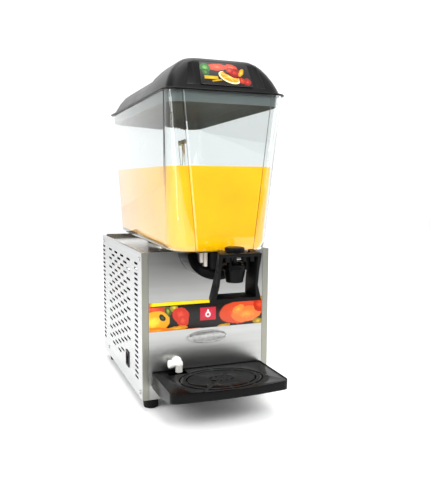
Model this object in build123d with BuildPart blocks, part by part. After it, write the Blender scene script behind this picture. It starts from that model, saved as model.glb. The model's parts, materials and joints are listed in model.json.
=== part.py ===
from build123d import *
from math import cos, radians, sin, tan
import os

os.makedirs("parts", exist_ok=True)

# A single-bowl refrigerated juice dispenser. Millimetres, +Z up, the front faces -Y,
# and the origin is the middle of the whole object's footprint, on the counter.

# Driving dimensions
cabinet_width = 240.0
cabinet_depth = 360.0
foot_height = 19.0
cabinet_top = 280.0
sheet = 1.2
tray_reach = 133.0
lever_reach = 147.0
rear_reach = 12.0
bowl_bottom_front = 286.0
bowl_tilt = 0.9
bowl_wall = 3.0
rim_height = 541.0
lid_height = 598.0
tap_reach = 122.0
drum_reach = 160.0
outlet_reach = 45.0

# Shared places and fits
half_width = cabinet_width / 2
inner_half = half_width - sheet
front_y = lever_reach - (lever_reach + cabinet_depth + rear_reach) / 2
back_y = front_y + cabinet_depth
inside_back = back_y - sheet
tap_y = front_y - tap_reach
drum_y = front_y + drum_reach
outlet_y = front_y - outlet_reach
running_gap = 0.05
loose_gap = 0.3


def block(low, high, mode=Mode.ADD):
    # a box between two opposite corners
    size = [top - bottom for bottom, top in zip(low, high)]
    centre = [(top + bottom) / 2 for bottom, top in zip(low, high)]
    with Locations(tuple(centre)):
        Box(*size, mode=mode)


def upright(x, y, bottom, top, radius, mode=Mode.ADD):
    # a vertical round bar
    with Locations((x, y, (bottom + top) / 2)):
        Cylinder(radius, top - bottom, mode=mode)


def bar_x(x, y, z, length, radius, mode=Mode.ADD):
    # a round bar along X, centred on a point
    with Locations(Location((x, y, z), (0, 90, 0))):
        Cylinder(radius, length, mode=mode)


def bar_y(x, y, z, length, radius, mode=Mode.ADD):
    # a round bar along Y, centred on a point
    with Locations(Location((x, y, z), (90, 0, 0))):
        Cylinder(radius, length, mode=mode)


# Cabinet sides: slots in two columns, and a staggered field between them
slot_pitch = 9.4
slot_top = 257.0
slot_height = 4.4
column_slot = 25.0
field_slot = 30.0
column_rows = 23
field_rows = 22
rows_over_switch = 18
switch_zone = 157.0
column_reaches = [41.7, 344.3]
odd_field = [103.0, 159.5, 216.0, 272.5]
even_field = [131.2, 187.7, 244.2]
screw_radius = 2.0
screw_head = 4.0
screw_proud = 2.0
screw_length = 8.0
side_screws = [(14.6, 30.5), (300.5, 35.7), (14.6, 268.0), (345.4, 268.0)]
flange_width = 11.4
hem_width = 5.0

column_slots = []
for reach in column_reaches:
    for row in range(column_rows):
        column_slots.append((front_y + reach, slot_top - slot_pitch * row))
field_slots = []
for row in range(field_rows):
    for reach in odd_field if row % 2 == 0 else even_field:
        if row < rows_over_switch or reach > switch_zone:
            field_slots.append((front_y + reach, slot_top - slot_pitch * row))
side_screw_places = [(front_y + reach, height) for reach, height in side_screws]


with BuildPart() as side_panel_right:
    for low_y, high_y, bottom, width in (
        (front_y, inside_back, foot_height, sheet),
        (front_y, front_y + sheet, foot_height, flange_width),
        (front_y, inside_back, cabinet_top - sheet, hem_width),
    ):
        block((half_width - width, low_y, bottom), (half_width, high_y, cabinet_top))
    with BuildSketch(Plane.YZ.offset(inner_half)):
        with Locations(*column_slots):
            SlotOverall(column_slot, slot_height)
        with Locations(*field_slots):
            SlotOverall(field_slot, slot_height)
        with Locations(*side_screw_places):
            Circle(screw_radius + running_gap)
    extrude(amount=sheet, mode=Mode.SUBTRACT)
side_panel_right.part.label = "side_panel_right"
export_step(side_panel_right.part, "parts/side_panel_right.step")

# Rocker switch, low on the left side
switch_y = front_y + 112.7
switch_z = 63.9
switch_width = 24.0
switch_tall = 30.0
switch_collar_y = 18.0
switch_collar_z = 24.0
switch_depth = 22.0
switch_proud = 2.0

with BuildPart() as side_panel_left:
    mirror(side_panel_right.part, about=Plane.YZ)
    block(
        (-half_width - 1, switch_y - switch_collar_y / 2, switch_z - switch_collar_z / 2),
        (-inner_half + 1, switch_y + switch_collar_y / 2, switch_z + switch_collar_z / 2),
        mode=Mode.SUBTRACT,
    )
side_panel_left.part.label = "side_panel_left"
export_step(side_panel_left.part, "parts/side_panel_left.step")

bezel_wall = 1.5
bezel_outer = -half_width - switch_proud
bezel_inner = -half_width + switch_depth
collar_half_y = switch_collar_y / 2 - running_gap
collar_half_z = switch_collar_z / 2 - running_gap
window_half_y = switch_collar_y / 2 - bezel_wall
window_half_z = switch_collar_z / 2 - bezel_wall
rocker_pivot_x = -half_width + 7.0
rocker_pin = 1.2
rocker_pin_length = 2 * window_half_y + 2.0
with BuildPart() as switch_bezel:
    block(
        (bezel_outer, switch_y - switch_width / 2, switch_z - switch_tall / 2),
        (-half_width, switch_y + switch_width / 2, switch_z + switch_tall / 2),
    )
    block(
        (-half_width, switch_y - collar_half_y, switch_z - collar_half_z),
        (bezel_inner, switch_y + collar_half_y, switch_z + collar_half_z),
    )
    block(
        (bezel_outer, switch_y - window_half_y, switch_z - window_half_z),
        (bezel_inner - bezel_wall, switch_y + window_half_y, switch_z + window_half_z),
        mode=Mode.SUBTRACT,
    )
    bar_y(rocker_pivot_x, switch_y, switch_z, rocker_pin_length, rocker_pin + running_gap, mode=Mode.SUBTRACT)
switch_bezel.part.label = "switch_bezel"
export_step(switch_bezel.part, "parts/switch_bezel.step")

rocker_half_y = window_half_y - loose_gap
rocker_half_z = window_half_z - 1.2
rocker_dish = 1.4
with BuildPart() as rocker:
    with BuildSketch(Plane.XZ.offset(-switch_y - rocker_half_y)):
        with BuildLine():
            top_point = (bezel_outer + 0.1, switch_z + rocker_half_z - 0.9)
            low_point = (bezel_outer + 4.6, switch_z - rocker_half_z + 0.2)
            dish_point = (bezel_outer + 2.35 + rocker_dish, switch_z)
            ThreePointArc(top_point, dish_point, low_point)
            Polyline(
                low_point,
                (rocker_pivot_x + 1.0, switch_z - rocker_half_z + 3.0),
                (rocker_pivot_x + 3.0, switch_z),
                (rocker_pivot_x + 1.0, switch_z + rocker_half_z - 2.6),
                top_point,
            )
        make_face()
    extrude(amount=2 * rocker_half_y)
    bar_y(rocker_pivot_x, switch_y, switch_z, rocker_pin_length - 0.2, rocker_pin)
rocker.part.label = "rocker"
export_step(rocker.part, "parts/rocker.step")

# Screws: one group for the sides and one for the back
with BuildPart() as side_screw_group:
    for side in (-1, 1):
        for screw_y, screw_z in side_screw_places:
            bar_x(side * (half_width + screw_proud / 2), screw_y, screw_z, screw_proud, screw_head)
            bar_x(side * (half_width - screw_length / 2), screw_y, screw_z, screw_length, screw_radius)
side_screw_group.part.label = "side_screws"
export_step(side_screw_group.part, "parts/side_screws.step")

rear_screw_places = [(x, z) for x in (-110.0, 110.0) for z in (35.0, 150.0, 270.0)]
with BuildPart() as rear_screw_group:
    for screw_x, screw_z in rear_screw_places:
        bar_y(screw_x, back_y + screw_proud / 2, screw_z, screw_proud, screw_head)
        bar_y(screw_x, back_y - screw_length / 2, screw_z, screw_length, screw_radius)
rear_screw_group.part.label = "rear_screws"
export_step(rear_screw_group.part, "parts/rear_screws.step")

# Base pan with upturned edges, an air inlet and the holes for the feet
foot_places = [(x, front_y + reach) for x in (-100.0, 100.0) for reach in (21.0, 321.0)]
foot_radius = 14.6
foot_tip_radius = 12.8
foot_bolt = 3.0
foot_nut = 5.5
pan_sheet = 1.5
pan_edge = 9.0
pan_half = inner_half - 0.2
pan_front = front_y + sheet + 0.2
pan_back = inside_back - 0.2
pan_top = foot_height + pan_sheet

with BuildPart() as base_pan:
    block((-pan_half, pan_front, foot_height), (pan_half, pan_back, foot_height + pan_edge))
    block(
        (-pan_half + pan_sheet, pan_front + pan_sheet, pan_top),
        (pan_half - pan_sheet, pan_back - pan_sheet, foot_height + pan_edge),
        mode=Mode.SUBTRACT,
    )
    with BuildSketch(Plane.XY.offset(foot_height)):
        with Locations(*foot_places):
            Circle(foot_bolt + running_gap)
        with Locations((0, front_y + 220)):
            with GridLocations(14, 1, 9, 1):
                SlotOverall(36, 5, rotation=90)
    extrude(amount=pan_sheet, mode=Mode.SUBTRACT)
base_pan.part.label = "base_pan"
export_step(base_pan.part, "parts/base_pan.step")

with BuildPart() as feet:
    for foot_x, foot_y in foot_places:
        with BuildSketch(Plane.XY):
            with Locations((foot_x, foot_y)):
                Circle(foot_tip_radius)
        with BuildSketch(Plane.XY.offset(foot_height)):
            with Locations((foot_x, foot_y)):
                Circle(foot_radius)
        loft()
        upright(foot_x, foot_y, 0, 6, 7, mode=Mode.SUBTRACT)
        upright(foot_x, foot_y, 6, foot_height, foot_bolt, mode=Mode.SUBTRACT)
feet.part.label = "feet"
export_step(feet.part, "parts/feet.step")

with BuildPart() as foot_bolts:
    for foot_x, foot_y in foot_places:
        upright(foot_x, foot_y, 2, 6, foot_nut)
        upright(foot_x, foot_y, 6, pan_top, foot_bolt)
        upright(foot_x, foot_y, pan_top, pan_top + 4, foot_nut)
foot_bolts.part.label = "foot_bolts"
export_step(foot_bolts.part, "parts/foot_bolts.step")

# Front panel between the side flanges, with folded returns behind them
panel_half = half_width - flange_width - 0.6
panel_return = 12.0
elbow_x = -58.4
elbow_z = 84.6
elbow_hole = 5.0
collar_drain_z = 240.0
hose_radius = 4.5
rail_x = 84.0

with BuildPart() as front_panel:
    block((-panel_half, front_y, foot_height), (panel_half, front_y + sheet, cabinet_top))
    for side in (-1, 1):
        edges = sorted((side * panel_half, side * (panel_half - sheet)))
        block(
            (edges[0], front_y, foot_height + pan_edge + 1),
            (edges[1], front_y + panel_return, cabinet_top - 6),
        )
    bar_y(elbow_x, front_y, elbow_z, 4 * sheet, elbow_hole + running_gap, mode=Mode.SUBTRACT)
    bar_y(0, front_y, collar_drain_z, 4 * sheet, hose_radius + running_gap, mode=Mode.SUBTRACT)
front_panel.part.label = "front_panel"
export_step(front_panel.part, "parts/front_panel.step")

# Picture strip and oval badge on the front panel
strip_bottom = 140.6
strip_top = 191.9
strip_thickness = 0.8
badge_z = 124.4
badge_width = 77.0
badge_tall = 23.0
badge_proud = 1.6
badge_rim = 2.2

with BuildPart() as picture_strip:
    block(
        (-panel_half + 0.4, front_y - strip_thickness, strip_bottom),
        (panel_half - 0.4, front_y, strip_top),
    )
picture_strip.part.label = "picture_strip"
export_step(picture_strip.part, "parts/picture_strip.step")

with BuildPart() as oval_badge:
    with BuildSketch(Plane.XZ.offset(-front_y)):
        with Locations((0, badge_z)):
            Ellipse(badge_width / 2, badge_tall / 2)
    extrude(amount=badge_proud)
    with BuildSketch(Plane.XZ.offset(-front_y + badge_proud / 2)):
        with Locations((0, badge_z)):
            Ellipse(badge_width / 2 - badge_rim, badge_tall / 2 - badge_rim)
    extrude(amount=badge_proud / 2, mode=Mode.SUBTRACT)
oval_badge.part.label = "oval_badge"
export_step(oval_badge.part, "parts/oval_badge.step")

# Drain elbow: boss on the panel, body, a capped stub to the left and a spout that points down
elbow_drop = 15.0
elbow_bore = 4.0
elbow_stub = 19.6
spout_y = front_y - 15.0
spout_foot = elbow_z - elbow_drop
with BuildPart() as drain_elbow:
    bar_y(elbow_x, front_y - 2.0, elbow_z, 4.0, 9.0)
    bar_y(elbow_x, front_y - 10.0, elbow_z, 14.0, 7.0)
    bar_y(elbow_x, front_y + 5.0, elbow_z, 10.0, elbow_hole)
    with Locations((elbow_x, spout_y, elbow_z)):
        Sphere(7.6)
    upright(elbow_x, spout_y, spout_foot, elbow_z, 6.4)
    bar_x(elbow_x - elbow_stub / 2, spout_y + 1, elbow_z, elbow_stub, 6.4)
    bar_x(elbow_x - elbow_stub + 3.6, spout_y + 1, elbow_z, 6, 7.2)
    upright(elbow_x, spout_y, spout_foot, elbow_z, elbow_bore, mode=Mode.SUBTRACT)
    bar_y(elbow_x, front_y - 2.5, elbow_z, 25.0, elbow_bore, mode=Mode.SUBTRACT)
drain_elbow.part.label = "drain_elbow"
export_step(drain_elbow.part, "parts/drain_elbow.step")

# Top deck with a raised seat for the bowl's gasket, and an upstand at the back
deck_top = cabinet_top - 3.0
seat_radius = 68.0
seat_height = 281.0
drum_radius = 52.0
upstand_reach = 338.0
upstand_height = 284.0
upstand_half = half_width - hem_width - 0.3

with BuildPart() as top_deck:
    block((-pan_half, pan_front, deck_top - sheet), (pan_half, pan_back, deck_top))
    upright(0, drum_y, deck_top, seat_height, seat_radius)
    upright(0, drum_y, deck_top - sheet, seat_height - sheet, seat_radius - sheet, mode=Mode.SUBTRACT)
    upright(0, drum_y, seat_height - sheet, seat_height, drum_radius, mode=Mode.SUBTRACT)
    block(
        (-upstand_half, front_y + upstand_reach, deck_top),
        (upstand_half, front_y + upstand_reach + sheet, upstand_height),
    )
top_deck.part.label = "top_deck"
export_step(top_deck.part, "parts/top_deck.step")

# Back panel: vent slots over the condenser, screw holes, knob and inlet cut-outs
knob_x = -80.0
inlet_x = 78.0
rear_fitting_z = 238.0
inlet_wide = 28.0
inlet_tall = 21.0
knob_shaft = 3.0
with BuildPart() as rear_panel:
    block((-half_width, inside_back, foot_height), (half_width, back_y, cabinet_top - 0.2))
    with BuildSketch(Plane.XZ.offset(-back_y)):
        with Locations((0, 122)):
            with GridLocations(56, 11, 3, 15):
                SlotOverall(46, 5)
        with Locations(*rear_screw_places):
            Circle(screw_radius + running_gap)
        with Locations((knob_x, rear_fitting_z)):
            Circle(knob_shaft + 1)
        with Locations((inlet_x, rear_fitting_z)):
            Rectangle(inlet_wide, inlet_tall)
    extrude(amount=sheet, mode=Mode.SUBTRACT)
rear_panel.part.label = "rear_panel"
export_step(rear_panel.part, "parts/rear_panel.step")

# Thermostat inside the back, its knob outside, and the mains inlet
with BuildPart() as thermostat:
    block(
        (knob_x - 20, inside_back - 26, rear_fitting_z - 14),
        (knob_x + 20, inside_back, rear_fitting_z + 14),
    )
    bar_y(knob_x, back_y + 1.5, rear_fitting_z, 3.0 + 2 * sheet, knob_shaft)
thermostat.part.label = "thermostat"
export_step(thermostat.part, "parts/thermostat.step")

knob_radius = 15.0
with BuildPart() as thermostat_knob:
    with BuildSketch(Plane.XZ.offset(-back_y - rear_reach)):
        with Locations((knob_x, rear_fitting_z)):
            Circle(knob_radius)
            with PolarLocations(knob_radius + 1.2, 16):
                Circle(2.2, mode=Mode.SUBTRACT)
    extrude(amount=rear_reach - loose_gap)
    block(
        (knob_x - 1.2, back_y + rear_reach - 1.0, rear_fitting_z + 3.0),
        (knob_x + 1.2, back_y + rear_reach, rear_fitting_z + knob_radius - 2.5),
        mode=Mode.SUBTRACT,
    )
    bar_y(knob_x, back_y + 2.5, rear_fitting_z, 5.0, knob_shaft + running_gap, mode=Mode.SUBTRACT)
thermostat_knob.part.label = "thermostat_knob"
export_step(thermostat_knob.part, "parts/thermostat_knob.step")

inlet_depth = 24.0
inlet_flange = 2.5
with BuildPart() as mains_inlet:
    block(
        (inlet_x - 24, back_y, rear_fitting_z - 13.5),
        (inlet_x + 24, back_y + inlet_flange, rear_fitting_z + 13.5),
    )
    block(
        (inlet_x - inlet_wide / 2 + 0.1, back_y - inlet_depth, rear_fitting_z - inlet_tall / 2 + 0.1),
        (inlet_x + inlet_wide / 2 - 0.1, back_y, rear_fitting_z + inlet_tall / 2 - 0.1),
    )
    block(
        (inlet_x - 12.0, back_y - 16.0, rear_fitting_z - 8.0),
        (inlet_x + 12.0, back_y + inlet_flange, rear_fitting_z + 8.0),
        mode=Mode.SUBTRACT,
    )
    for pin_x in (-7.0, 0.0, 7.0):
        block(
            (inlet_x + pin_x - 1.0, back_y - 16.0, rear_fitting_z - 2.0),
            (inlet_x + pin_x + 1.0, back_y - 3.0, rear_fitting_z + 2.0),
        )
mains_inlet.part.label = "mains_inlet"
export_step(mains_inlet.part, "parts/mains_inlet.step")

# Refrigeration: compressor on rubber mounts
compressor_x = -38.0
compressor_y = front_y + 100.0
compressor_radius = 60.0
compressor_base = 36.0
compressor_crown = 168.0
mount_places = [(compressor_x + dx, compressor_y + dy) for dx in (-50, 50) for dy in (-45, 45)]
with BuildPart() as compressor:
    upright(compressor_x, compressor_y, compressor_base, compressor_crown, compressor_radius)
    fillet(compressor.edges().group_by(Axis.Z)[-1], 30)
    fillet(compressor.edges().group_by(Axis.Z)[0], 12)
    for side in (-1, 1):
        block(
            (compressor_x - 60, compressor_y + side * 45 - 12, compressor_base - 4),
            (compressor_x + 60, compressor_y + side * 45 + 12, compressor_base),
        )
    for mount_x, mount_y in mount_places:
        upright(mount_x, mount_y, compressor_base - 4, compressor_base, 4.2, mode=Mode.SUBTRACT)
compressor.part.label = "compressor"
export_step(compressor.part, "parts/compressor.step")

with BuildPart() as compressor_mounts:
    for mount_x, mount_y in mount_places:
        upright(mount_x, mount_y, pan_top, compressor_base - 4, 9)
        upright(mount_x, mount_y, compressor_base - 4, compressor_base + 3, 4.1)
compressor_mounts.part.label = "compressor_mounts"
export_step(compressor_mounts.part, "parts/compressor_mounts.step")

with BuildPart() as terminal_box:
    block(
        (compressor_x - 24, compressor_y + compressor_radius + 1, 70),
        (compressor_x + 24, compressor_y + compressor_radius + 24, 112),
    )
terminal_box.part.label = "terminal_box"
export_step(terminal_box.part, "parts/terminal_box.step")

# Condenser: flat fins on two rows of tubes, with a shroud and fan in front of it
condenser_front = front_y + 296.0
condenser_back = front_y + 340.0
condenser_half = 86.0
condenser_bottom = 32.0
condenser_top = 200.0
fin_count = 32
fin_sheet = 0.6
tube_radius = 4.0
tube_reaches = (12, 32)
tube_rows = 5
tube_pitch = 33.0
tube_first = condenser_bottom + 18
tube_places = []
for reach in tube_reaches:
    for row in range(tube_rows):
        tube_places.append((condenser_front + reach, tube_first + tube_pitch * row))
with BuildPart() as condenser_fins:
    with BuildSketch(Plane.YZ.offset(-condenser_half)):
        with Locations(((condenser_front + condenser_back) / 2, (condenser_bottom + condenser_top) / 2)):
            Rectangle(condenser_back - condenser_front, condenser_top - condenser_bottom)
        with Locations(*tube_places):
            Circle(tube_radius + running_gap, mode=Mode.SUBTRACT)
    extrude(amount=fin_sheet)
fin_pitch = (2 * condenser_half - fin_sheet) / (fin_count - 1)
condenser_fins.part = Part(
    children=[Pos(fin_pitch * index, 0, 0) * condenser_fins.part.solid() for index in range(fin_count)]
)
condenser_fins.part.label = "condenser_fins"
export_step(condenser_fins.part, "parts/condenser_fins.step")

with BuildPart() as condenser_tubes:
    for reach in tube_reaches:
        turns = []
        for row in range(tube_rows):
            ends = (-condenser_half - 16, condenser_half + 16)
            for end in ends if row % 2 == 0 else reversed(ends):
                turns.append((end, condenser_front + reach, tube_first + tube_pitch * row))
        with BuildLine():
            serpentine = FilletPolyline(*turns, radius=16)
        with BuildSketch(Plane(serpentine @ 0, z_dir=serpentine % 0)):
            Circle(tube_radius)
        sweep(path=serpentine)
condenser_tubes.part.label = "condenser_tubes"
export_step(condenser_tubes.part, "parts/condenser_tubes.step")

fan_z = 116.0
fan_radius = 68.0
blade_count = 5
shroud_front = condenser_front - 10
shroud_hole = 73.0
motor_back = front_y + 262.0
with BuildPart() as fan_shroud:
    block(
        (-condenser_half, shroud_front, condenser_bottom),
        (condenser_half, shroud_front + 8, condenser_top),
    )
    bar_y(0, shroud_front + 4, fan_z, 10, shroud_hole, mode=Mode.SUBTRACT)
fan_shroud.part.label = "fan_shroud"
export_step(fan_shroud.part, "parts/fan_shroud.step")

post_offset = 60.0
with BuildPart() as fan_bracket:
    for side in (-1, 1):
        for level in (-1, 1):
            post_x = side * post_offset
            post_z = fan_z + level * post_offset
            bar_y(post_x, (motor_back + shroud_front) / 2, post_z, shroud_front - motor_back, 3)
    for side in (-1, 1):
        with Locations(Location((0, motor_back + 1.5, fan_z), (0, side * 45, 0))):
            Box(2 * post_offset * 2**0.5 + 12, 3, 12)
    bar_y(0, motor_back + 1.5, fan_z, 3, 26)
    bar_y(0, motor_back + 1.5, fan_z, 4, 5, mode=Mode.SUBTRACT)
fan_bracket.part.label = "fan_bracket"
export_step(fan_bracket.part, "parts/fan_bracket.step")

with BuildPart() as fan_motor:
    bar_y(0, motor_back - 20, fan_z, 40, 30)
    bar_y(0, motor_back + 9, fan_z, 18, 4)
fan_motor.part.label = "fan_motor"
export_step(fan_motor.part, "parts/fan_motor.step")

fan_y = motor_back + 13.0
with BuildPart() as fan_blade:
    bar_y(0, fan_y, fan_z, 14, 16)
    for blade in range(blade_count):
        turn = Location((0, fan_y, fan_z), (0, 360 / blade_count * blade, 0))
        with Locations(turn * Location((fan_radius / 2 + 7, 0, 0), (28, 0, 0))):
            Box(fan_radius - 14, 1.6, 30)
    bar_y(0, fan_y, fan_z, 30, 4 + running_gap, mode=Mode.SUBTRACT)
fan_blade.part.label = "fan_blade"
export_step(fan_blade.part, "parts/fan_blade.step")

# Refrigerant line: discharge, liquid and suction tubes, drier and capillary
drier_x = 97.0
drier_y = front_y + 190.0
drier_top = 150.0
with BuildPart() as filter_drier:
    upright(drier_x, drier_y, 70, drier_top - 10, 9)
    upright(drier_x, drier_y, 60, drier_top, 3)
filter_drier.part.label = "filter_drier"
export_step(filter_drier.part, "parts/filter_drier.step")

discharge_route = [
    (compressor_x + compressor_radius + 0.5, compressor_y, 110),
    (70, compressor_y, 110),
    (70, compressor_y, 222),
    (70, front_y + 240, 222),
    (-110, front_y + 240, 222),
    (-110, condenser_front + 12, 222),
    (-110, condenser_front + 12, condenser_bottom + 150 + tube_radius + 4),
]
suction_route = [
    (-20, drum_y, 255),
    (-20, drum_y, 235),
    (-20, compressor_y + 10, 235),
    (-20, compressor_y + 10, compressor_crown + 1),
]
capillary_route = [
    (drier_x, drier_y, drier_top + 0.5),
    (drier_x, drier_y, 244),
    (20, drier_y, 244),
    (20, drum_y, 244),
    (20, drum_y, 255),
]
with BuildPart() as refrigerant_tubes:
    for route, bend, radius in (
        (discharge_route, 10, 3.0),
        (suction_route, 9, 4.0),
        (capillary_route, 5, 1.2),
    ):
        with BuildLine():
            line = FilletPolyline(*route, radius=bend)
        with BuildSketch(Plane(line @ 0, z_dir=line % 0)):
            Circle(radius)
        sweep(path=line)
refrigerant_tubes.part.label = "refrigerant_tubes"
export_step(refrigerant_tubes.part, "parts/refrigerant_tubes.step")

# Evaporator drum standing through the deck into the bowl, with its coil and foam
drum_wall = 1.5
drum_foot = 262.0
drum_top = 388.0
pin_radius = 2.0
with BuildPart() as evaporator_drum:
    upright(0, drum_y, drum_foot, drum_top, drum_radius - running_gap)
    fillet(evaporator_drum.edges().group_by(Axis.Z)[-1], 9)
    upright(0, drum_y, drum_foot, drum_top - drum_wall - 9, drum_radius - drum_wall, mode=Mode.SUBTRACT)
    upright(0, drum_y, drum_foot, drum_top - drum_wall, drum_radius - drum_wall - 9, mode=Mode.SUBTRACT)
    upright(0, drum_y, drum_top - 1, drum_top + 9, pin_radius)
evaporator_drum.part.label = "evaporator_drum"
export_step(evaporator_drum.part, "parts/evaporator_drum.step")

coil_radius = 46.0
coil_tube = 3.5
coil_bottom = 294.0
coil_height = 72.0
coil_pitch = 12.0
with BuildPart() as evaporator_coil:
    with BuildLine(Plane((0, drum_y, coil_bottom))):
        coil_line = Helix(coil_pitch, coil_height, coil_radius)
    with BuildSketch(Plane(coil_line @ 0, z_dir=coil_line % 0)):
        Circle(coil_tube)
    sweep(path=coil_line, is_frenet=True)
evaporator_coil.part.label = "evaporator_coil"
export_step(evaporator_coil.part, "parts/evaporator_coil.step")

with BuildPart() as deck_insulation:
    block((-92, drum_y - 92, drum_foot), (92, drum_y + 92, deck_top - sheet))
    upright(0, drum_y, drum_foot, deck_top, drum_radius + 0.1, mode=Mode.SUBTRACT)
deck_insulation.part.label = "deck_insulation"
export_step(deck_insulation.part, "parts/deck_insulation.step")

# Pump: motor inside the drum, a drive magnet on its shaft, the impeller above the drum's top
motor_plate_bottom = 283.0
pump_motor_radius = 27.0
pump_motor_top = 348.0
magnet_foot = 364.0
magnet_top = 378.0
pump_shaft = 3.0
with BuildPart() as pump_motor:
    upright(0, drum_y, motor_plate_bottom, motor_plate_bottom + 3, drum_radius - drum_wall - 0.2)
    upright(0, drum_y, motor_plate_bottom + 3, pump_motor_top, pump_motor_radius)
    upright(0, drum_y, pump_motor_top, magnet_foot + 10, pump_shaft)
pump_motor.part.label = "pump_motor"
export_step(pump_motor.part, "parts/pump_motor.step")

with BuildPart() as drive_magnet:
    upright(0, drum_y, magnet_foot, magnet_top, 24)
    upright(0, drum_y, magnet_foot, magnet_foot + 11, pump_shaft + running_gap, mode=Mode.SUBTRACT)
drive_magnet.part.label = "drive_magnet"
export_step(drive_magnet.part, "parts/drive_magnet.step")

vane_count = 6
impeller_bottom = drum_top + 0.8
with BuildPart() as impeller:
    upright(0, drum_y, impeller_bottom, impeller_bottom + 3, 22)
    upright(0, drum_y, impeller_bottom, impeller_bottom + 8, 5)
    with Locations(Location((0, drum_y, impeller_bottom + 5.4))):
        with PolarLocations(12.5, vane_count):
            Box(17, 2, 5)
    upright(0, drum_y, impeller_bottom, drum_top + 20, pin_radius + running_gap, mode=Mode.SUBTRACT)
impeller.part.label = "impeller"
export_step(impeller.part, "parts/impeller.step")

cover_radius = 30.0
cover_top = 404.0
socket_top = 412.0
pipe_radius = 6.0
with BuildPart() as pump_cover:
    upright(0, drum_y, drum_top, cover_top, cover_radius)
    fillet(pump_cover.edges().group_by(Axis.Z)[-1], 4)
    upright(0, drum_y, drum_top, cover_top - 3, cover_radius - 5, mode=Mode.SUBTRACT)
    upright(0, drum_y, cover_top - 1, socket_top, pipe_radius + 2.5)
    upright(0, drum_y, cover_top - 4, socket_top, pipe_radius - 1.5, mode=Mode.SUBTRACT)
    upright(0, drum_y, cover_top, socket_top, pipe_radius + running_gap, mode=Mode.SUBTRACT)
    with Locations(Location((0, drum_y, drum_top + 3))):
        with PolarLocations(cover_radius, 8):
            Box(14, 6, 4, mode=Mode.SUBTRACT)
pump_cover.part.label = "pump_cover"
export_step(pump_cover.part, "parts/pump_cover.step")

pipe_top = 478.0
with BuildPart() as stand_pipe:
    upright(0, drum_y, cover_top + 0.1, pipe_top, pipe_radius)
    upright(0, drum_y, cover_top + 0.1, pipe_top, pipe_radius - 1.5, mode=Mode.SUBTRACT)
stand_pipe.part.label = "stand_pipe"
export_step(stand_pipe.part, "parts/stand_pipe.step")

spray_bottom = 470.0
spray_top = 488.0
with BuildPart() as spray_head:
    upright(0, drum_y, spray_bottom, spray_top, 8.5)
    upright(0, drum_y, spray_top - 9, spray_top - 3, 11.5)
    fillet(spray_head.edges().group_by(Axis.Z)[-1], 2.5)
    upright(0, drum_y, spray_bottom, pipe_top, pipe_radius + running_gap, mode=Mode.SUBTRACT)
    upright(0, drum_y, pipe_top, spray_top - 3, pipe_radius - 1.5, mode=Mode.SUBTRACT)
    with Locations(Location((0, drum_y, spray_top - 6))):
        with PolarLocations(9, 8):
            Box(12, 1.6, 2.4, mode=Mode.SUBTRACT)
spray_head.part.label = "spray_head"
export_step(spray_head.part, "parts/spray_head.step")

# Bowl: a tapered clear box. Each outline gives half width, front, back,
# the front corners' size along X and along Y, and the rear corners' size
bowl_tall = rim_height - bowl_bottom_front
bottom_outline = (87.0, front_y - 84.5, front_y + 326.0, 36.0, 62.0, 30.0)
top_outline = (102.3, front_y - 92.0, front_y + 334.0, 21.0, 21.0, 25.0)
bowl_floor = 4.0
bowl_foot = 9.0
foot_inset = 6.0
tilt_plane = Plane(
    origin=(0, front_y - 84.5, bowl_bottom_front),
    x_dir=(1, 0, 0),
    z_dir=(0, -sin(radians(bowl_tilt)), cos(radians(bowl_tilt))),
)
ellipse_handle = 0.5523


def underside(y):
    # height of the bowl's sloping underside at a place along Y
    return bowl_bottom_front + (y - bottom_outline[1]) * tan(radians(bowl_tilt))


def mixed_outline(share, inset):
    # an outline between the bottom one (share 0) and the top one (share 1), moved inwards by inset
    mixed = [low + (high - low) * share for low, high in zip(bottom_outline, top_outline)]
    half, front, back, corner_x, corner_y, rear = mixed
    least = 4.0
    return (
        half - inset,
        front + inset,
        back - inset,
        max(corner_x - inset, least),
        max(corner_y - inset, least),
        max(rear - inset, least),
    )


def outline_lines(outline, datum):
    # four sides and four corners, as points for lines and handles for quarter ellipses
    half, front, back, corner_x, corner_y, rear = outline
    front -= datum
    back -= datum
    lines = [
        ((-half + corner_x, front), (half - corner_x, front)),
        ((half, front + corner_y), (half, back - rear)),
        ((half - rear, back), (-half + rear, back)),
        ((-half, back - rear), (-half, front + corner_y)),
    ]
    corners = [
        ((half - corner_x, front), (half, front), (half, front + corner_y)),
        ((half, back - rear), (half, back), (half - rear, back)),
        ((-half + rear, back), (-half, back), (-half, back - rear)),
        ((-half, front + corner_y), (-half, front), (-half + corner_x, front)),
    ]
    handles = []
    for start, corner, end in corners:
        first = [s + (c - s) * ellipse_handle for s, c in zip(start, corner)]
        second = [e + (c - e) * ellipse_handle for e, c in zip(end, corner)]
        handles.append((start, tuple(first), tuple(second), end))
    return lines, handles


hole_radius = 55.5
ring_radius = 58.5
ring_top = 302.0
outlet_hole = 11.0
keystone_proud = 2.0
outer_levels = (
    (tilt_plane, mixed_outline(0, foot_inset), bottom_outline[1]),
    (tilt_plane.offset(bowl_foot), mixed_outline(bowl_foot / bowl_tall, 0), bottom_outline[1]),
    (Plane.XY.offset(rim_height), mixed_outline(1, 0), 0),
)
inner_levels = (
    (tilt_plane.offset(bowl_floor), mixed_outline(0, foot_inset + 1), bottom_outline[1]),
    (tilt_plane.offset(bowl_foot), mixed_outline(bowl_foot / bowl_tall, bowl_wall), bottom_outline[1]),
    (Plane.XY.offset(rim_height), mixed_outline(1, bowl_wall), 0),
)

with BuildPart() as bowl_cavity:
    for plane, outline, datum in inner_levels:
        with BuildSketch(plane):
            with BuildLine():
                lines, handles = outline_lines(outline, datum)
                for (start, end), quarter in zip(lines, handles):
                    Line(start, end)
                    Bezier(*quarter)
            make_face()
    loft(ruled=True)

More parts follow.
